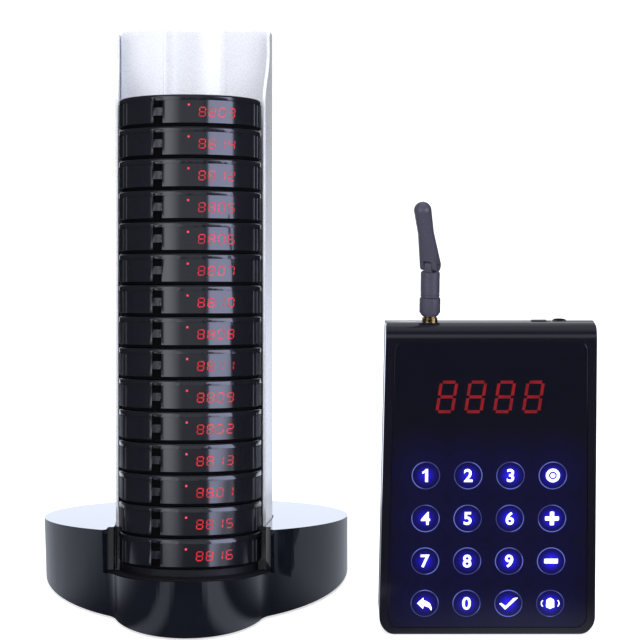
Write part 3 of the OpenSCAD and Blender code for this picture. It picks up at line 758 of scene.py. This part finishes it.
@dataclass
class SegmentDigit:
    """A seven-segment digit in its own plane: x across, z up, in metres."""

    width: float
    height: float
    stroke: float
    slant: float
    gap: float = 0.1 * MM
    taper: float = 0.42

    LIT = {"0": "abcdef", "1": "bc", "2": "abged", "3": "abgcd", "4": "fgbc", "5": "afgcd",
           "6": "afgedc", "7": "abc", "8": "abcdefg", "9": "abfgcd"}

    def bar(self, bm: BMesh, middle: Vector, length: float, upright: bool) -> None:
        """Adds one bar with pointed ends.

        Args:
            bm: where the bar goes.
            middle: the bar's middle.
            length: from point to point.
            upright: whether it stands.
        """
        made = bmesh.ops.create_grid(bm, x_segments=3, y_segments=1, size=0.5)
        verts = made["verts"]
        bmesh.ops.rotate(bm, verts=verts, cent=(0, 0, 0), matrix=UPRIGHT)
        bmesh.ops.scale(bm, verts=verts, vec=(length, 1.0, self.stroke))
        corners = [v for v in verts if abs(abs(v.co.x) - length / 2) < 1e-9]
        for vert in corners:
            vert.co.x -= math.copysign(self.stroke * self.taper, vert.co.x)
        if upright:
            bmesh.ops.rotate(bm, verts=verts, cent=(0, 0, 0), matrix=Matrix.Rotation(math.pi / 2, 3, "Y"))
        bmesh.ops.translate(bm, verts=verts, vec=middle)

    def build(self, figure: str) -> BMesh:
        """Makes a digit.

        Args:
            figure: the figure shown, 0 to 9.

        Returns:
            A flat bmesh in the XZ plane, its middle at the origin.
        """
        bm = bmesh.new()
        across = self.width / 2 - self.stroke / 2
        up = self.height / 2 - self.stroke / 2
        flat = 2 * across - self.gap
        tall = up - self.gap
        places = {"a": ((0, up), flat, False), "g": ((0, 0), flat, False), "d": ((0, -up), flat, False),
                  "f": ((-across, up / 2), tall, True), "b": ((across, up / 2), tall, True),
                  "e": ((-across, -up / 2), tall, True), "c": ((across, -up / 2), tall, True)}
        for letter in self.LIT[figure]:
            (x, z), length, upright = places[letter]
            self.bar(bm, Vector((x, 0, z)), length, upright)
        lean = Matrix.Identity(4)
        lean[0][2] = math.tan(math.radians(self.slant))
        bmesh.ops.transform(bm, matrix=lean, verts=bm.verts)
        return bm

    def row(self, figures: str, pitch: float, middle: tuple[float, float]) -> BMesh:
        """Makes a row of digits.

        Args:
            figures: the figures, from left to right.
            pitch: distance from digit to digit.
            middle: the row's middle, as x and z.

        Returns:
            The row's flat bmesh.
        """
        whole = bmesh.new()
        for index, figure in enumerate(figures):
            digit = self.build(figure)
            across = middle[0] + (index - (len(figures) - 1) / 2) * pitch
            bmesh.ops.translate(digit, verts=digit.verts, vec=(across, 0, middle[1]))
            join(whole, digit)
        return whole


def thicken(bm: BMesh, thickness: float) -> None:
    """Gives flat faces a small thickness towards +Y.

    Args:
        bm: flat geometry whose seen side is -Y.
        thickness: in metres.
    """
    bmesh.ops.remove_doubles(bm, verts=bm.verts, dist=WELD)
    for face in bm.faces:
        face.normal_update()
        if face.normal.y > 0:
            face.normal_flip()
    made = bmesh.ops.extrude_face_region(bm, geom=bm.faces[:])
    moved = [item for item in made["geom"] if isinstance(item, bmesh.types.BMVert)]
    bmesh.ops.translate(bm, verts=moved, vec=(0, thickness, 0))
    bmesh.ops.recalc_face_normals(bm, faces=bm.faces)


# ---------- The charging tower ----------


@dataclass
class ChargingTower:
    """Base, dock, column and what is inside them."""

    body: str = "tower"
    rim_round: float = 0.9 * MM
    sheet_round: float = 0.35 * MM

    def build(self) -> None:
        """Dresses every node of the tower."""
        for node, finish, edge in (
                ("base_shell", Finishes.TOWER_GLOSS, self.rim_round),
                ("base_plate", Finishes.BLACK_PLASTIC, 0.5 * MM),
                ("base_feet", Finishes.RUBBER, 0.4 * MM),
                ("dock_insert", Finishes.DOCK_MATT, 0.4 * MM),
                ("column_panel", Finishes.SILVER, 0.5 * MM),
                ("column_wing_left", Finishes.SILVER, self.sheet_round),
                ("column_wing_right", Finishes.SILVER, self.sheet_round),
                ("tower_power_jack", Finishes.INLET, 0.3 * MM)):
            EdgedNode(node, self.body, finish, edge).build()
        for node, finish in (("base_screws", Finishes.STEEL), ("dock_contacts", Finishes.GOLD),
                             ("charge_board", Finishes.BOARD), ("column_screws", Finishes.STEEL)):
            dress(node, finish)


# ---------- The pager stack ----------


@dataclass
class StackFrame:
    """Where the stack's axis runs, read from the frame."""

    origin: Vector
    turn: Matrix

    @classmethod
    def from_pager(cls, node: str) -> "StackFrame":
        """Reads a pager's own frame: its middle, and its axis from its joint.

        Args:
            node: the pager's cover.

        Returns:
            The frame, with its origin on the axis at the height of the cover's top.
        """
        lift = next(j for j in frame["joints"] if j["name"].endswith("_lift") and j["child"] in node)
        axis = Vector(lift["axis"]).normalized()
        back = axis.cross(Vector((1, 0, 0))).normalized()
        turn = Matrix((Vector((1, 0, 0)), back, axis)).transposed()
        local = [turn.transposed() @ v.co for v in frame["nodes"][node].data.vertices]
        low = Vector(min(p[i] for p in local) for i in range(3))
        high = Vector(max(p[i] for p in local) for i in range(3))
        rim_r = (high.x - low.x) / 2
        middle = Vector(((high.x + low.x) / 2, high.y - rim_r, high.z))
        return cls(turn @ middle, turn)

    def to_row(self) -> Matrix:
        """Returns the matrix from the pager's frame to the row frame."""
        return Matrix.Translation(self.origin) @ self.turn.to_4x4()


@dataclass
class Pager:
    """One round pager with its number window."""

    place: int
    number: str
    body_finish: Finish
    window_r: float = 44.2 * MM
    digit_w: float = 4.2 * MM
    digit_h: float = 5.9 * MM
    stroke: float = 0.66 * MM
    slant: float = 5.0
    digit_pitch: float = 5.9 * MM
    number_x: float = 15.8 * MM
    number_drop: float = 10.5 * MM
    light_x: float = -1.2 * MM
    light_drop: float = 6.3 * MM
    light_r: float = 0.72 * MM
    light_steps: int = 24
    proud: float = 0.04 * MM
    first_turn: float = 1.6
    turn_step: float = 0.18

    @property
    def body(self) -> str:
        """The pager's body name."""
        return f"pager_{self.place:02d}"

    def wrap(self, bm: BMesh) -> None:
        """Bends flat geometry onto the window's cylinder and moves it to the pager's place.

        Args:
            bm: geometry with x across, y as depth behind the window and z under the top.
        """
        for vert in bm.verts:
            depth = vert.co.y - self.proud
            vert.co.y = depth - math.sqrt(self.window_r ** 2 - vert.co.x ** 2)
        turn = Matrix.Rotation(math.radians(self.first_turn + (self.place - 1) * self.turn_step), 4, "Z")
        to_row = StackFrame.from_pager(self.body + "_cover").to_row()
        bmesh.ops.transform(bm, matrix=to_row @ turn, verts=bm.verts)

    def number_marks(self) -> bpy.types.Object:
        """Makes the lit number.

        Returns:
            The piece.
        """
        shape = SegmentDigit(self.digit_w, self.digit_h, self.stroke, self.slant)
        whole = shape.row(self.number, self.digit_pitch, (self.number_x, -self.number_drop))
        thicken(whole, 3 * self.proud)
        self.wrap(whole)
        return from_bmesh(self.body + "_number", whole, Finishes.PAGER_RED, self.body)

    def call_light(self) -> bpy.types.Object:
        """Makes the small round light over the number.

        Returns:
            The piece.
        """
        light = bmesh.new()
        bmesh.ops.create_circle(light, cap_ends=True, segments=self.light_steps, radius=self.light_r)
        bmesh.ops.rotate(light, verts=light.verts, cent=(0, 0, 0), matrix=UPRIGHT)
        bmesh.ops.translate(light, verts=light.verts, vec=(self.light_x, 0, -self.light_drop))
        thicken(light, 3 * self.proud)
        self.wrap(light)
        return from_bmesh(self.body + "_light", light, Finishes.PAGER_LAMP, self.body)

    def build(self) -> None:
        """Makes the pager's pieces."""
        EdgedNode(self.body + "_case", self.body, self.body_finish, 0.3 * MM).build()
        EdgedNode(self.body + "_cover", self.body, Finishes.PAGER_GLOSS, 0.2 * MM, 2).build()
        self.number_marks()
        self.call_light()


@dataclass
class PagerStack:
    """The fifteen pagers, from the lowest up."""

    numbers: Sequence[str] = ("8816", "8815", "8801", "8813", "8802", "8809", "8811", "8808", "8810", "8807",
                              "8806", "8805", "8812", "8814", "8803")

    def build(self) -> None:
        """Makes every pager, and dresses what is inside the top one."""
        axis = StackFrame.from_pager("pager_01_cover")
        satin = PagerSatin("pager_satin_black", "pager_body", (0.006, 0.006, 0.01), 0.45, ior=1.42,
                           grain=0.25, grain_scale=2600.0, dust=0.05, axis_at=tuple(axis.origin),
                           axis=tuple(axis.turn.col[2]))
        for place, number in enumerate(self.numbers, start=1):
            Pager(place, number, satin).build()
        top = f"pager_{len(self.numbers):02d}"
        dress(top + "_board", Finishes.BOARD)
        dress(top + "_battery", Finishes.CELL)


# ---------- The console ----------


class Mark(Enum):
    """What a touch key shows, apart from a figure."""

    TARGET = "target"
    PLUS = "plus"
    MINUS = "minus"
    BACK = "back"
    TICK = "tick"
    BELL = "bell"


def cross(arm: float, half: float) -> list[tuple[float, float]]:
    """Finds the corners of an upright cross.

    Args:
        arm: from the middle to an arm's end, in millimetres.
        half: half an arm's width, in millimetres.

    Returns:
        The twelve corners in order, each a quarter turn on from the third before it.
    """
    corners = [(half, arm), (-half, arm), (-half, half)]
    while len(corners) < 12:
        x, z = corners[-3]
        corners.append((-z, x))
    return corners


@dataclass
class ConsoleFace:
    """The sloping front of the overlay, read from the frame."""

    bottom: Vector
    lean: float
    proud: float = 0.03 * MM

    @classmethod
    def from_overlay(cls, node: str = "console_overlay") -> "ConsoleFace":
        """Reads the front plane from the overlay's foremost points at its bottom and top.

        Args:
            node: the overlay's node.

        Returns:
            The face, with its origin at the console's middle on the counter.
        """
        verts = [v.co for v in frame["nodes"][node].data.vertices]
        low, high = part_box(node)
        at_bottom = min(v.y for v in verts if v.z < low.z + EDGE_BAND)
        at_top = min(v.y for v in verts if v.z > high.z - EDGE_BAND)
        slope = (at_top - at_bottom) / (high.z - low.z)
        return cls(Vector(((low.x + high.x) / 2, at_bottom - slope * low.z, 0.0)), math.atan(slope))

    def light(self, name: str, bm: BMesh, finish: Finish, body: str) -> None:
        """Lays a lit shape just in front of the overlay; heights over the counter stay.

        Args:
            name: the piece's name.
            bm: a flat shape, x across and z up the face's height.
            finish: its finish.
            body: the body that it moves with.
        """
        thicken(bm, 3 * self.proud)
        shear = Matrix.Identity(4)
        shear[1][2] = math.tan(self.lean)
        to_row = Matrix.Translation(self.bottom + Vector((0, -self.proud, 0))) @ shear
        bmesh.ops.transform(bm, matrix=to_row, verts=bm.verts)
        from_bmesh(name, bm, finish, body)


@dataclass
class Keypad:
    """The sixteen touch keys' marks, and the rings of painted reflection round them."""

    face: ConsoleFace
    body: str = "console"
    pitch_x: float = 25.0 * MM
    pitch_z: float = 26.2 * MM
    row_z: float = 20.1 * MM
    ring_r: float = 8.4 * MM
    ring_w: float = 0.54 * MM
    mark_h: float = 7.9 * MM
    bold: float = 0.022
    target_r: float = 4.15 * MM
    target_inner: float = 2.35 * MM
    dot_r: float = 1.45 * MM
    wave_r: float = 2.4 * MM
    wave_w: float = 0.6 * MM
    wave_x: float = 2.9 * MM
    wave_deg: float = 104.0
    wave_steps: int = 16
    ring_steps: int = 64

    LAYOUT = ((Mark.BACK, "0", Mark.TICK, Mark.BELL), ("7", "8", "9", Mark.MINUS),
              ("4", "5", "6", Mark.PLUS), ("1", "2", "3", Mark.TARGET))
    OUTLINES = {
        "1": (((1.25, 3.95), (-0.1, 3.95), (-0.75, 3.0), (-2.1, 2.25), (-2.1, 0.95), (-0.45, 1.75),
               (-0.45, -3.95), (1.25, -3.95)), 0.12),
        Mark.PLUS: (cross(4.15, 1.25), 0.45),
        Mark.MINUS: (((4.1, 1.45), (-4.1, 1.45), (-4.1, -1.45), (4.1, -1.45)), 0.5),
        Mark.BACK: (((-4.6, 0.1), (-1.0, -3.5), (-0.5, -1.5), (2.6, -2.6), (3.9, -4.6), (4.4, -3.0),
                     (3.2, 0.0), (0.9, 1.5), (-0.6, 1.9), (-0.8, 3.7)), 0.3),
        Mark.TICK: (((-5.5, -0.1), (-1.9, -3.9), (5.8, 3.5), (3.8, 3.5), (2.8, 3.1), (-1.6, -1.6),
                     (-4.3, 0.3)), 0.25),
        Mark.BELL: (((0, 3.6), (-2.3, 2.2), (-2.5, -2.4), (-1.0, -2.9), (0, -3.6), (1.0, -2.9),
                     (2.5, -2.4), (2.3, 2.2)), 0.5)}

    def centre(self, column: int, row: int) -> Vector:
        """Returns a key's middle on the face; row 0 is the lowest."""
        return Vector(((column - 1.5) * self.pitch_x, 0, self.row_z + row * self.pitch_z))

    def ring(self, radius: float, inner: float) -> BMesh:
        """Makes a flat ring in the XZ plane.

        Args:
            radius: the outer radius.
            inner: the inner radius, or 0 for a disc.

        Returns:
            The ring's bmesh.
        """
        bm = bmesh.new()
        outer = bmesh.ops.create_circle(bm, cap_ends=not inner, segments=self.ring_steps, radius=radius)
        if inner:
            loop = bmesh.ops.create_circle(bm, cap_ends=False, segments=self.ring_steps, radius=inner)
            edges = {e for v in outer["verts"] + loop["verts"] for e in v.link_edges}
            bmesh.ops.bridge_loops(bm, edges=list(edges))
        bmesh.ops.rotate(bm, verts=bm.verts, cent=(0, 0, 0), matrix=UPRIGHT)
        return bm

    def outline(self, points: Sequence[tuple[float, float]], round_by: float) -> BMesh:
        """Makes a flat shape from its corner points, with round corners.

        Args:
            points: x and z of the corners, in millimetres.
            round_by: radius of the corners, in millimetres.

        Returns:
            The shape's bmesh.
        """
        bm = bmesh.new()
        verts = [bm.verts.new((x * MM, 0, z * MM)) for x, z in points]
        bm.faces.new(verts)
        bmesh.ops.bevel(bm, geom=bm.verts[:], affect="VERTICES", offset=round_by * MM, segments=4,
                        profile=0.5, material=-1)
        return bm

    def figure(self, text: str) -> BMesh:
        """Makes a bold figure.

        Args:
            text: the figure.

        Returns:
            The figure's bmesh, its middle at the origin.
        """
        curve = bpy.data.curves.new("figure", "FONT")
        curve.body = text
        curve.offset = self.bold
        curve.resolution_u = 5
        holder = placed("figure", curve)
        bpy.context.view_layer.update()
        mesh = bpy.data.meshes.new_from_object(holder.evaluated_get(bpy.context.evaluated_depsgraph_get()))
        bpy.data.objects.remove(holder)
        bpy.data.curves.remove(curve)
        bm = bmesh.new()
        bm.from_mesh(mesh)
        bpy.data.meshes.remove(mesh)
        low = Vector(min(v.co[i] for v in bm.verts) for i in range(3))
        high = Vector(max(v.co[i] for v in bm.verts) for i in range(3))
        size = self.mark_h / (high.y - low.y)
        bmesh.ops.translate(bm, verts=bm.verts, vec=-(low + high) / 2)
        bmesh.ops.scale(bm, verts=bm.verts, vec=(size, size, size))
        bmesh.ops.rotate(bm, verts=bm.verts, cent=(0, 0, 0), matrix=UPRIGHT)
        return bm

    def arc(self, radius: float, width: float, start: float, end: float) -> BMesh:
        """Makes a flat arc by spinning a short edge.

        Args:
            radius: the arc's middle radius, in metres.
            width: its width, in metres.
            start: first angle, in degrees from +X.
            end: last angle, in degrees.

        Returns:
            The arc's bmesh.
        """
        bm = bmesh.new()
        ends = [bm.verts.new((radius + side * width / 2, 0, 0)) for side in (-1, 1)]
        edge = bm.edges.new(ends)
        turn = Matrix.Rotation(-math.radians(start), 3, "Y")
        bmesh.ops.rotate(bm, verts=ends, cent=(0, 0, 0), matrix=turn)
        bmesh.ops.spin(bm, geom=[*ends, edge], cent=(0, 0, 0), axis=(0, -1, 0), dvec=(0, 0, 0),
                       angle=math.radians(end - start), steps=self.wave_steps, use_merge=False,
                       use_normal_flip=False, use_duplicate=False)
        return bm

    def waves(self) -> list[BMesh]:
        """Makes the two arcs beside the bell.

        Returns:
            The arcs.
        """
        arcs = []
        for side, start in ((1, -self.wave_deg / 2), (-1, 180 - self.wave_deg / 2)):
            made = self.arc(self.wave_r, self.wave_w, start, start + self.wave_deg)
            bmesh.ops.translate(made, verts=made.verts, vec=(side * self.wave_x, 0, 0))
            arcs.append(made)
        return arcs

    def mark(self, name: str | Mark) -> list[BMesh]:
        """Makes what a key shows.

        Args:
            name: a figure or a Mark.

        Returns:
            The mark's parts.
        """
        if name in self.OUTLINES:
            shown = [self.outline(*self.OUTLINES[name])]
            return shown + self.waves() if name is Mark.BELL else shown
        if name is Mark.TARGET:
            return [self.ring(self.target_r, self.target_inner), self.ring(self.dot_r, 0)]
        return [self.figure(name)]

    def place(self, whole: BMesh, part: BMesh, key: Vector) -> None:
        """Moves a part to its key and adds it to the whole."""
        bmesh.ops.translate(part, verts=part.verts, vec=key)
        join(whole, part)

    def build(self) -> None:
        """Makes the rings of painted reflection and the marks."""
        ring_reflections, marks = bmesh.new(), bmesh.new()
        for row, names in enumerate(self.LAYOUT):
            for column, name in enumerate(names):
                key = self.centre(column, row)
                # Painted reflection: a glowing ring round each key stands for the key light mirrored in its
                # groove.
                self.place(ring_reflections, self.ring(self.ring_r, self.ring_r - self.ring_w), key)
                for part in self.mark(name):
                    self.place(marks, part, key)
        self.face.light("key_ring_reflections", ring_reflections, Finishes.KEY_RING_REFLECTION, self.body)
        self.face.light("key_marks", marks, Finishes.KEY_MARK, self.body)


@dataclass
class Console:
    """Case, overlay, display, inlets and what is inside."""

    body: str = "console"
    display_z: float = 146.1 * MM
    display_x: float = -0.3 * MM
    digit_w: float = 10.8 * MM
    digit_h: float = 19.5 * MM
    digit_pitch: float = 16.9 * MM
    stroke: float = 1.8 * MM
    slant: float = 8.0
    gap: float = 0.14 * MM

    def build(self) -> None:
        """Makes the console's pieces."""
        face = ConsoleFace.from_overlay()
        keypad = Keypad(face)
        first = face.bottom + keypad.centre(0, 0)
        glass = KeyGlass("touch_glass", "touch_overlay", (0.0055, 0.0055, 0.011), 0.1, coat=0.4,
                         coat_roughness=0.03, grain=0.02, grain_scale=800.0, dust=0.08,
                         first_key=first, pitch=(keypad.pitch_x, keypad.pitch_z))
        for node, finish, edge in (
                ("console_front_case", Finishes.CONSOLE_GLOSS, 0.3 * MM),
                ("console_back_case", Finishes.BLACK_PLASTIC, 0.3 * MM),
                ("console_overlay", glass, 0.5 * MM),
                ("console_power_jack", Finishes.INLET, 0.3 * MM),
                ("console_feet", Finishes.RUBBER, 0.4 * MM),
                ("antenna_socket", Finishes.GOLD, 0.2 * MM)):
            EdgedNode(node, self.body, finish, edge).build()
        EdgedNode("console_power_switch", "power_switch", Finishes.INLET, 0.3 * MM).build()
        for node, finish in (("key_light_guide", Finishes.GUIDE), ("digit_display", Finishes.DISPLAY_RED),
                             ("console_board", Finishes.BOARD), ("touch_pads", Finishes.COPPER),
                             ("console_screws", Finishes.STEEL)):
            dress(node, finish)
        shape = SegmentDigit(self.digit_w, self.digit_h, self.stroke, self.slant, self.gap)
        figures = shape.row("8888", self.digit_pitch, (self.display_x, self.display_z))
        face.light("display_figures", figures, Finishes.DISPLAY_RED, self.body)
        keypad.build()


@dataclass
class Antenna:
    """The knurled nut, the swivel barrel and the blade."""

    edge: float = 0.12 * MM

    def build(self) -> None:
        """Makes the antenna's pieces."""
        EdgedNode("antenna_nut", "antenna_nut", Finishes.ANTENNA, 0.15 * MM, 2).build()
        EdgedNode("antenna_barrel", "antenna_barrel", Finishes.ANTENNA, self.edge).build()
        EdgedNode("antenna_paddle", "antenna_blade", Finishes.ANTENNA, self.edge, angle=40.0).build()
        dress("antenna_pin", Finishes.STEEL)


# ---------- Studio ----------


@dataclass(frozen=True)
class SoftBox:
    """A studio soft light; its reflection comes from the world's soft panels."""

    name: str
    place: Place
    aim: Place
    width: float
    height: float
    watts: float
    colour: Colour = (1.0, 1.0, 1.0)

    def build(self) -> None:
        """Hangs the light and turns it to its aim."""
        lamp = bpy.data.lights.new(self.name, "AREA")
        lamp.shape = "RECTANGLE"
        lamp.size, lamp.size_y = self.width, self.height
        lamp.energy = self.watts
        lamp.color = self.colour
        holder = placed(self.name, lamp)
        holder.location = self.place
        holder.visible_glossy = False
        toward = Vector(self.aim) - Vector(self.place)
        holder.rotation_euler = toward.to_track_quat("-Z", "Y").to_euler()


@dataclass(frozen=True)
class SkyPanel:
    """A soft panel of the world that only reflections see, by side angle and height angle in radians."""

    side: Window
    height: Window
    strength: float

    def shape(self, shader: Shader, side: Socket, height: Socket) -> Socket:
        """Returns where the panel is, 0 to 1."""
        return shader.math("MULTIPLY", shader.window(side, *self.side), shader.window(height, *self.height))


@dataclass(frozen=True)
class FloorCard:
    """A pale card on the floor that only reflections see, as a range of directions from the tower."""

    side: Window
    strength: float
    fade: tuple[float, float]

    def level(self, shader: Shader, side: Socket, away: Socket) -> Socket:
        """Returns how bright the card is at a direction and distance from the tower."""
        return shader.chain("MULTIPLY", shader.window(side, *self.side), self.strength,
                            shader.ramp(away, *self.fade))


@dataclass
class Studio:
    """Floor, backdrop light, lamps and camera."""

    floor_size: float = 12.0
    focal_px: float = 1970.0
    frame_px: float = 640.0
    sensor: float = 36.0
    eye: Place = (6.75 * MM, -1207.7 * MM, 450.5 * MM)
    pitch: float = 13.03
    ambient: float = 0.56
    tower: tuple[float, float] = (-73.4 * MM, 11.5 * MM)
    floor_colour: Colour = (0.84, 0.85, 0.88)
    floor_mirrored: Colour = (0.8, 0.86, 1.0)
    floor_lift: float = 0.62
    # How reflections see the floor and the world: by metres from the tower, or by angle in radians.
    near_fade: Ramp = (0.24, 0.34, 0.4, 0.02)
    near_sides: Ramp = (0.6, 1.2, 0.1, 1.0)
    near_front: Ramp = (0.24, 0.15, 0.1, 1.0)
    behind_fade: Ramp = (-0.08, -0.2, 0.0, 1.28)
    behind_width: Ramp = (0.4, 0.22, 0.0, 1.0)
    back_wall: Ramp = (2.5, 2.9, 0.03, 0.62)
    ceiling: Ramp = (0.65, 1.4, 0.0, 0.9)
    plain_tint: Colour = (0.92, 0.93, 1.0)
    right_tint: Colour = (0.66, 0.7, 1.0)

    CARDS = (FloorCard((0.24, 0.5, 0.16), 0.65, (0.27, 0.24)),
             FloorCard((-0.38, -0.2, 0.12), 0.45, (0.27, 0.24)),
             FloorCard((0.58, 1.3, 0.08), 1.1, (0.9, 1.3)),
             FloorCard((-0.8, -0.4, 0.3), 1.5, (0.9, 1.3)))
    OVERHEAD = SkyPanel((-0.5, 0.5, 0.3), (0.14, 0.55, 0.16), 0.42)
    LEFT = SkyPanel((-0.88, -0.34, 0.6), (0.05, 0.5, 0.14), 1.9)
    RIGHT = SkyPanel((0.58, 1.34, 0.04), (0.03, 0.36, 0.07), 4.6)
    LIGHTS = (SoftBox("right_softbox", (0.6, -1.25, 0.75), (0.0, 0.0, 0.15), 1.0, 1.0, 8.0,
                      (0.95, 0.96, 1.0)),
              SoftBox("left_softbox", (-0.7, -1.3, 0.8), (0.0, 0.0, 0.15), 0.8, 1.0, 8.0),
              SoftBox("overhead_softbox", (0.0, 0.1, 1.5), (0.0, 0.0, 0.1), 1.6, 1.2, 12.0))

    def floor(self) -> None:
        """Lays a pale floor that keeps the object's shadow and is dim in the reflections of its front."""
        bm = bmesh.new()
        bmesh.ops.create_grid(bm, x_segments=1, y_segments=1, size=self.floor_size / 2)
        mesh = to_mesh("studio_floor", bm)
        plane = placed("studio_floor", mesh)
        made = bpy.data.materials.new("pale_floor")
        shader = fresh_shader(made)
        path = shader.add("ShaderNodeLightPath")
        lit = shader.add("ShaderNodeBsdfDiffuse")
        lit.inputs["Color"].default_value = (*self.floor_colour, 1.0)
        white = shader.add("ShaderNodeEmission")
        lift = shader.math("MULTIPLY", path.outputs["Is Camera Ray"], self.floor_lift)
        shader.link(lift, white.inputs["Strength"])
        seen = shader.add("ShaderNodeAddShader")
        shader.link(lit.outputs[0], seen.inputs[0])
        shader.link(white.outputs[0], seen.inputs[1])
        mirrored = shader.add("ShaderNodeEmission")
        mirrored.inputs["Color"].default_value = (*self.floor_mirrored, 1.0)
        shader.link(self.mirrored_level(shader), mirrored.inputs["Strength"])
        mix = shader.add("ShaderNodeMixShader")
        shader.link(path.outputs["Is Glossy Ray"], mix.inputs[0])
        shader.link(seen.outputs[0], mix.inputs[1])
        shader.link(mirrored.outputs[0], mix.inputs[2])
        out = shader.add("ShaderNodeOutputMaterial")
        shader.link(mix.outputs[0], out.inputs["Surface"])
        mesh.materials.append(made)

    def mirrored_level(self, shader: Shader) -> Socket:
        """How bright reflections see the floor: dim near the tower, bright behind it, with a few cards.

        Args:
            shader: the floor's shader.

        Returns:
            The level's socket.
        """
        x, y, _ = shader.axes(shader.place())
        across = shader.math("SUBTRACT", x, self.tower[0])
        forward = shader.math("SUBTRACT", self.tower[1], y)
        away = shader.distance(across, forward)
        side = shader.math("ARCTAN2", across, forward)
        near = shader.chain("MULTIPLY", shader.ramp(away, *self.near_fade),
                            shader.ramp(shader.math("ABSOLUTE", side), *self.near_sides),
                            shader.ramp(forward, *self.near_front))
        behind = shader.math("MULTIPLY", shader.ramp(forward, *self.behind_fade),
                             shader.ramp(shader.math("ABSOLUTE", across), *self.behind_width))
        cards = shader.chain("ADD", *(card.level(shader, side, away) for card in self.CARDS))
        return shader.chain("MAXIMUM", near, behind, cards)

    def world(self) -> None:
        """White where the camera looks; in reflections a dark front between soft light panels."""
        made = bpy.data.worlds.new("studio")
        bpy.context.scene.world = made
        shader = fresh_shader(made)
        path = shader.add("ShaderNodeLightPath")
        x, y, z = shader.axes(shader.add("ShaderNodeTexCoord").outputs["Generated"])
        side = shader.math("ARCTAN2", x, shader.math("MULTIPLY", y, -1.0))
        height = shader.math("ARCSINE", z)
        around = shader.ramp(shader.math("ABSOLUTE", side), *self.back_wall)
        overhead = shader.math("MAXIMUM", shader.ramp(height, *self.ceiling),
                               self.OVERHEAD.shape(shader, side, height))
        left = self.LEFT.shape(shader, side, height)
        right = self.RIGHT.shape(shader, side, height)
        level = shader.chain("MAXIMUM", around, shader.math("MULTIPLY", overhead, self.OVERHEAD.strength),
                             shader.math("MULTIPLY", left, self.LEFT.strength),
                             shader.math("MULTIPLY", right, self.RIGHT.strength))
        tint = shader.blend(right, self.plain_tint, self.right_tint)
        clear = shader.math("MAXIMUM", path.outputs["Is Camera Ray"], path.outputs["Is Transmission Ray"])
        glossy = shader.math("MULTIPLY", path.outputs["Is Glossy Ray"], level)
        diffuse = shader.math("MULTIPLY", path.outputs["Is Diffuse Ray"], self.ambient)
        back = shader.add("ShaderNodeBackground")
        shader.link(shader.blend(path.outputs["Is Glossy Ray"], (1.0, 1.0, 1.0), tint), back.inputs["Color"])
        shader.link(shader.chain("MAXIMUM", glossy, clear, diffuse), back.inputs["Strength"])
        out = shader.add("ShaderNodeOutputWorld")
        shader.link(back.outputs[0], out.inputs["Surface"])

    def camera(self) -> None:
        """Sets the camera at the photograph's angle."""
        lens = bpy.data.cameras.new("studio_camera")
        lens.sensor_width = self.sensor
        lens.lens = self.focal_px / self.frame_px * self.sensor
        lens.clip_start, lens.clip_end = 0.05, 50.0
        holder = placed("studio_camera", lens)
        holder.location = self.eye
        holder.rotation_euler = (math.radians(90.0 - self.pitch), 0.0, 0.0)
        bpy.context.scene.camera = holder

    def build(self) -> None:
        """Sets the studio up."""
        self.floor()
        self.world()
        self.camera()
        for light in self.LIGHTS:
            light.build()
        bpy.context.scene.view_settings.view_transform = "Standard"


def main() -> None:
    """Builds the studio and every sub-assembly in order."""
    logging.basicConfig(level=logging.INFO, format="%(name)s: %(message)s")
    Studio().build()
    for assembly in (ChargingTower(), PagerStack(), Console(), Antenna()):
        LOG.info("building %s", type(assembly).__name__)
        assembly.build()


if __name__ == "__main__":
    main()
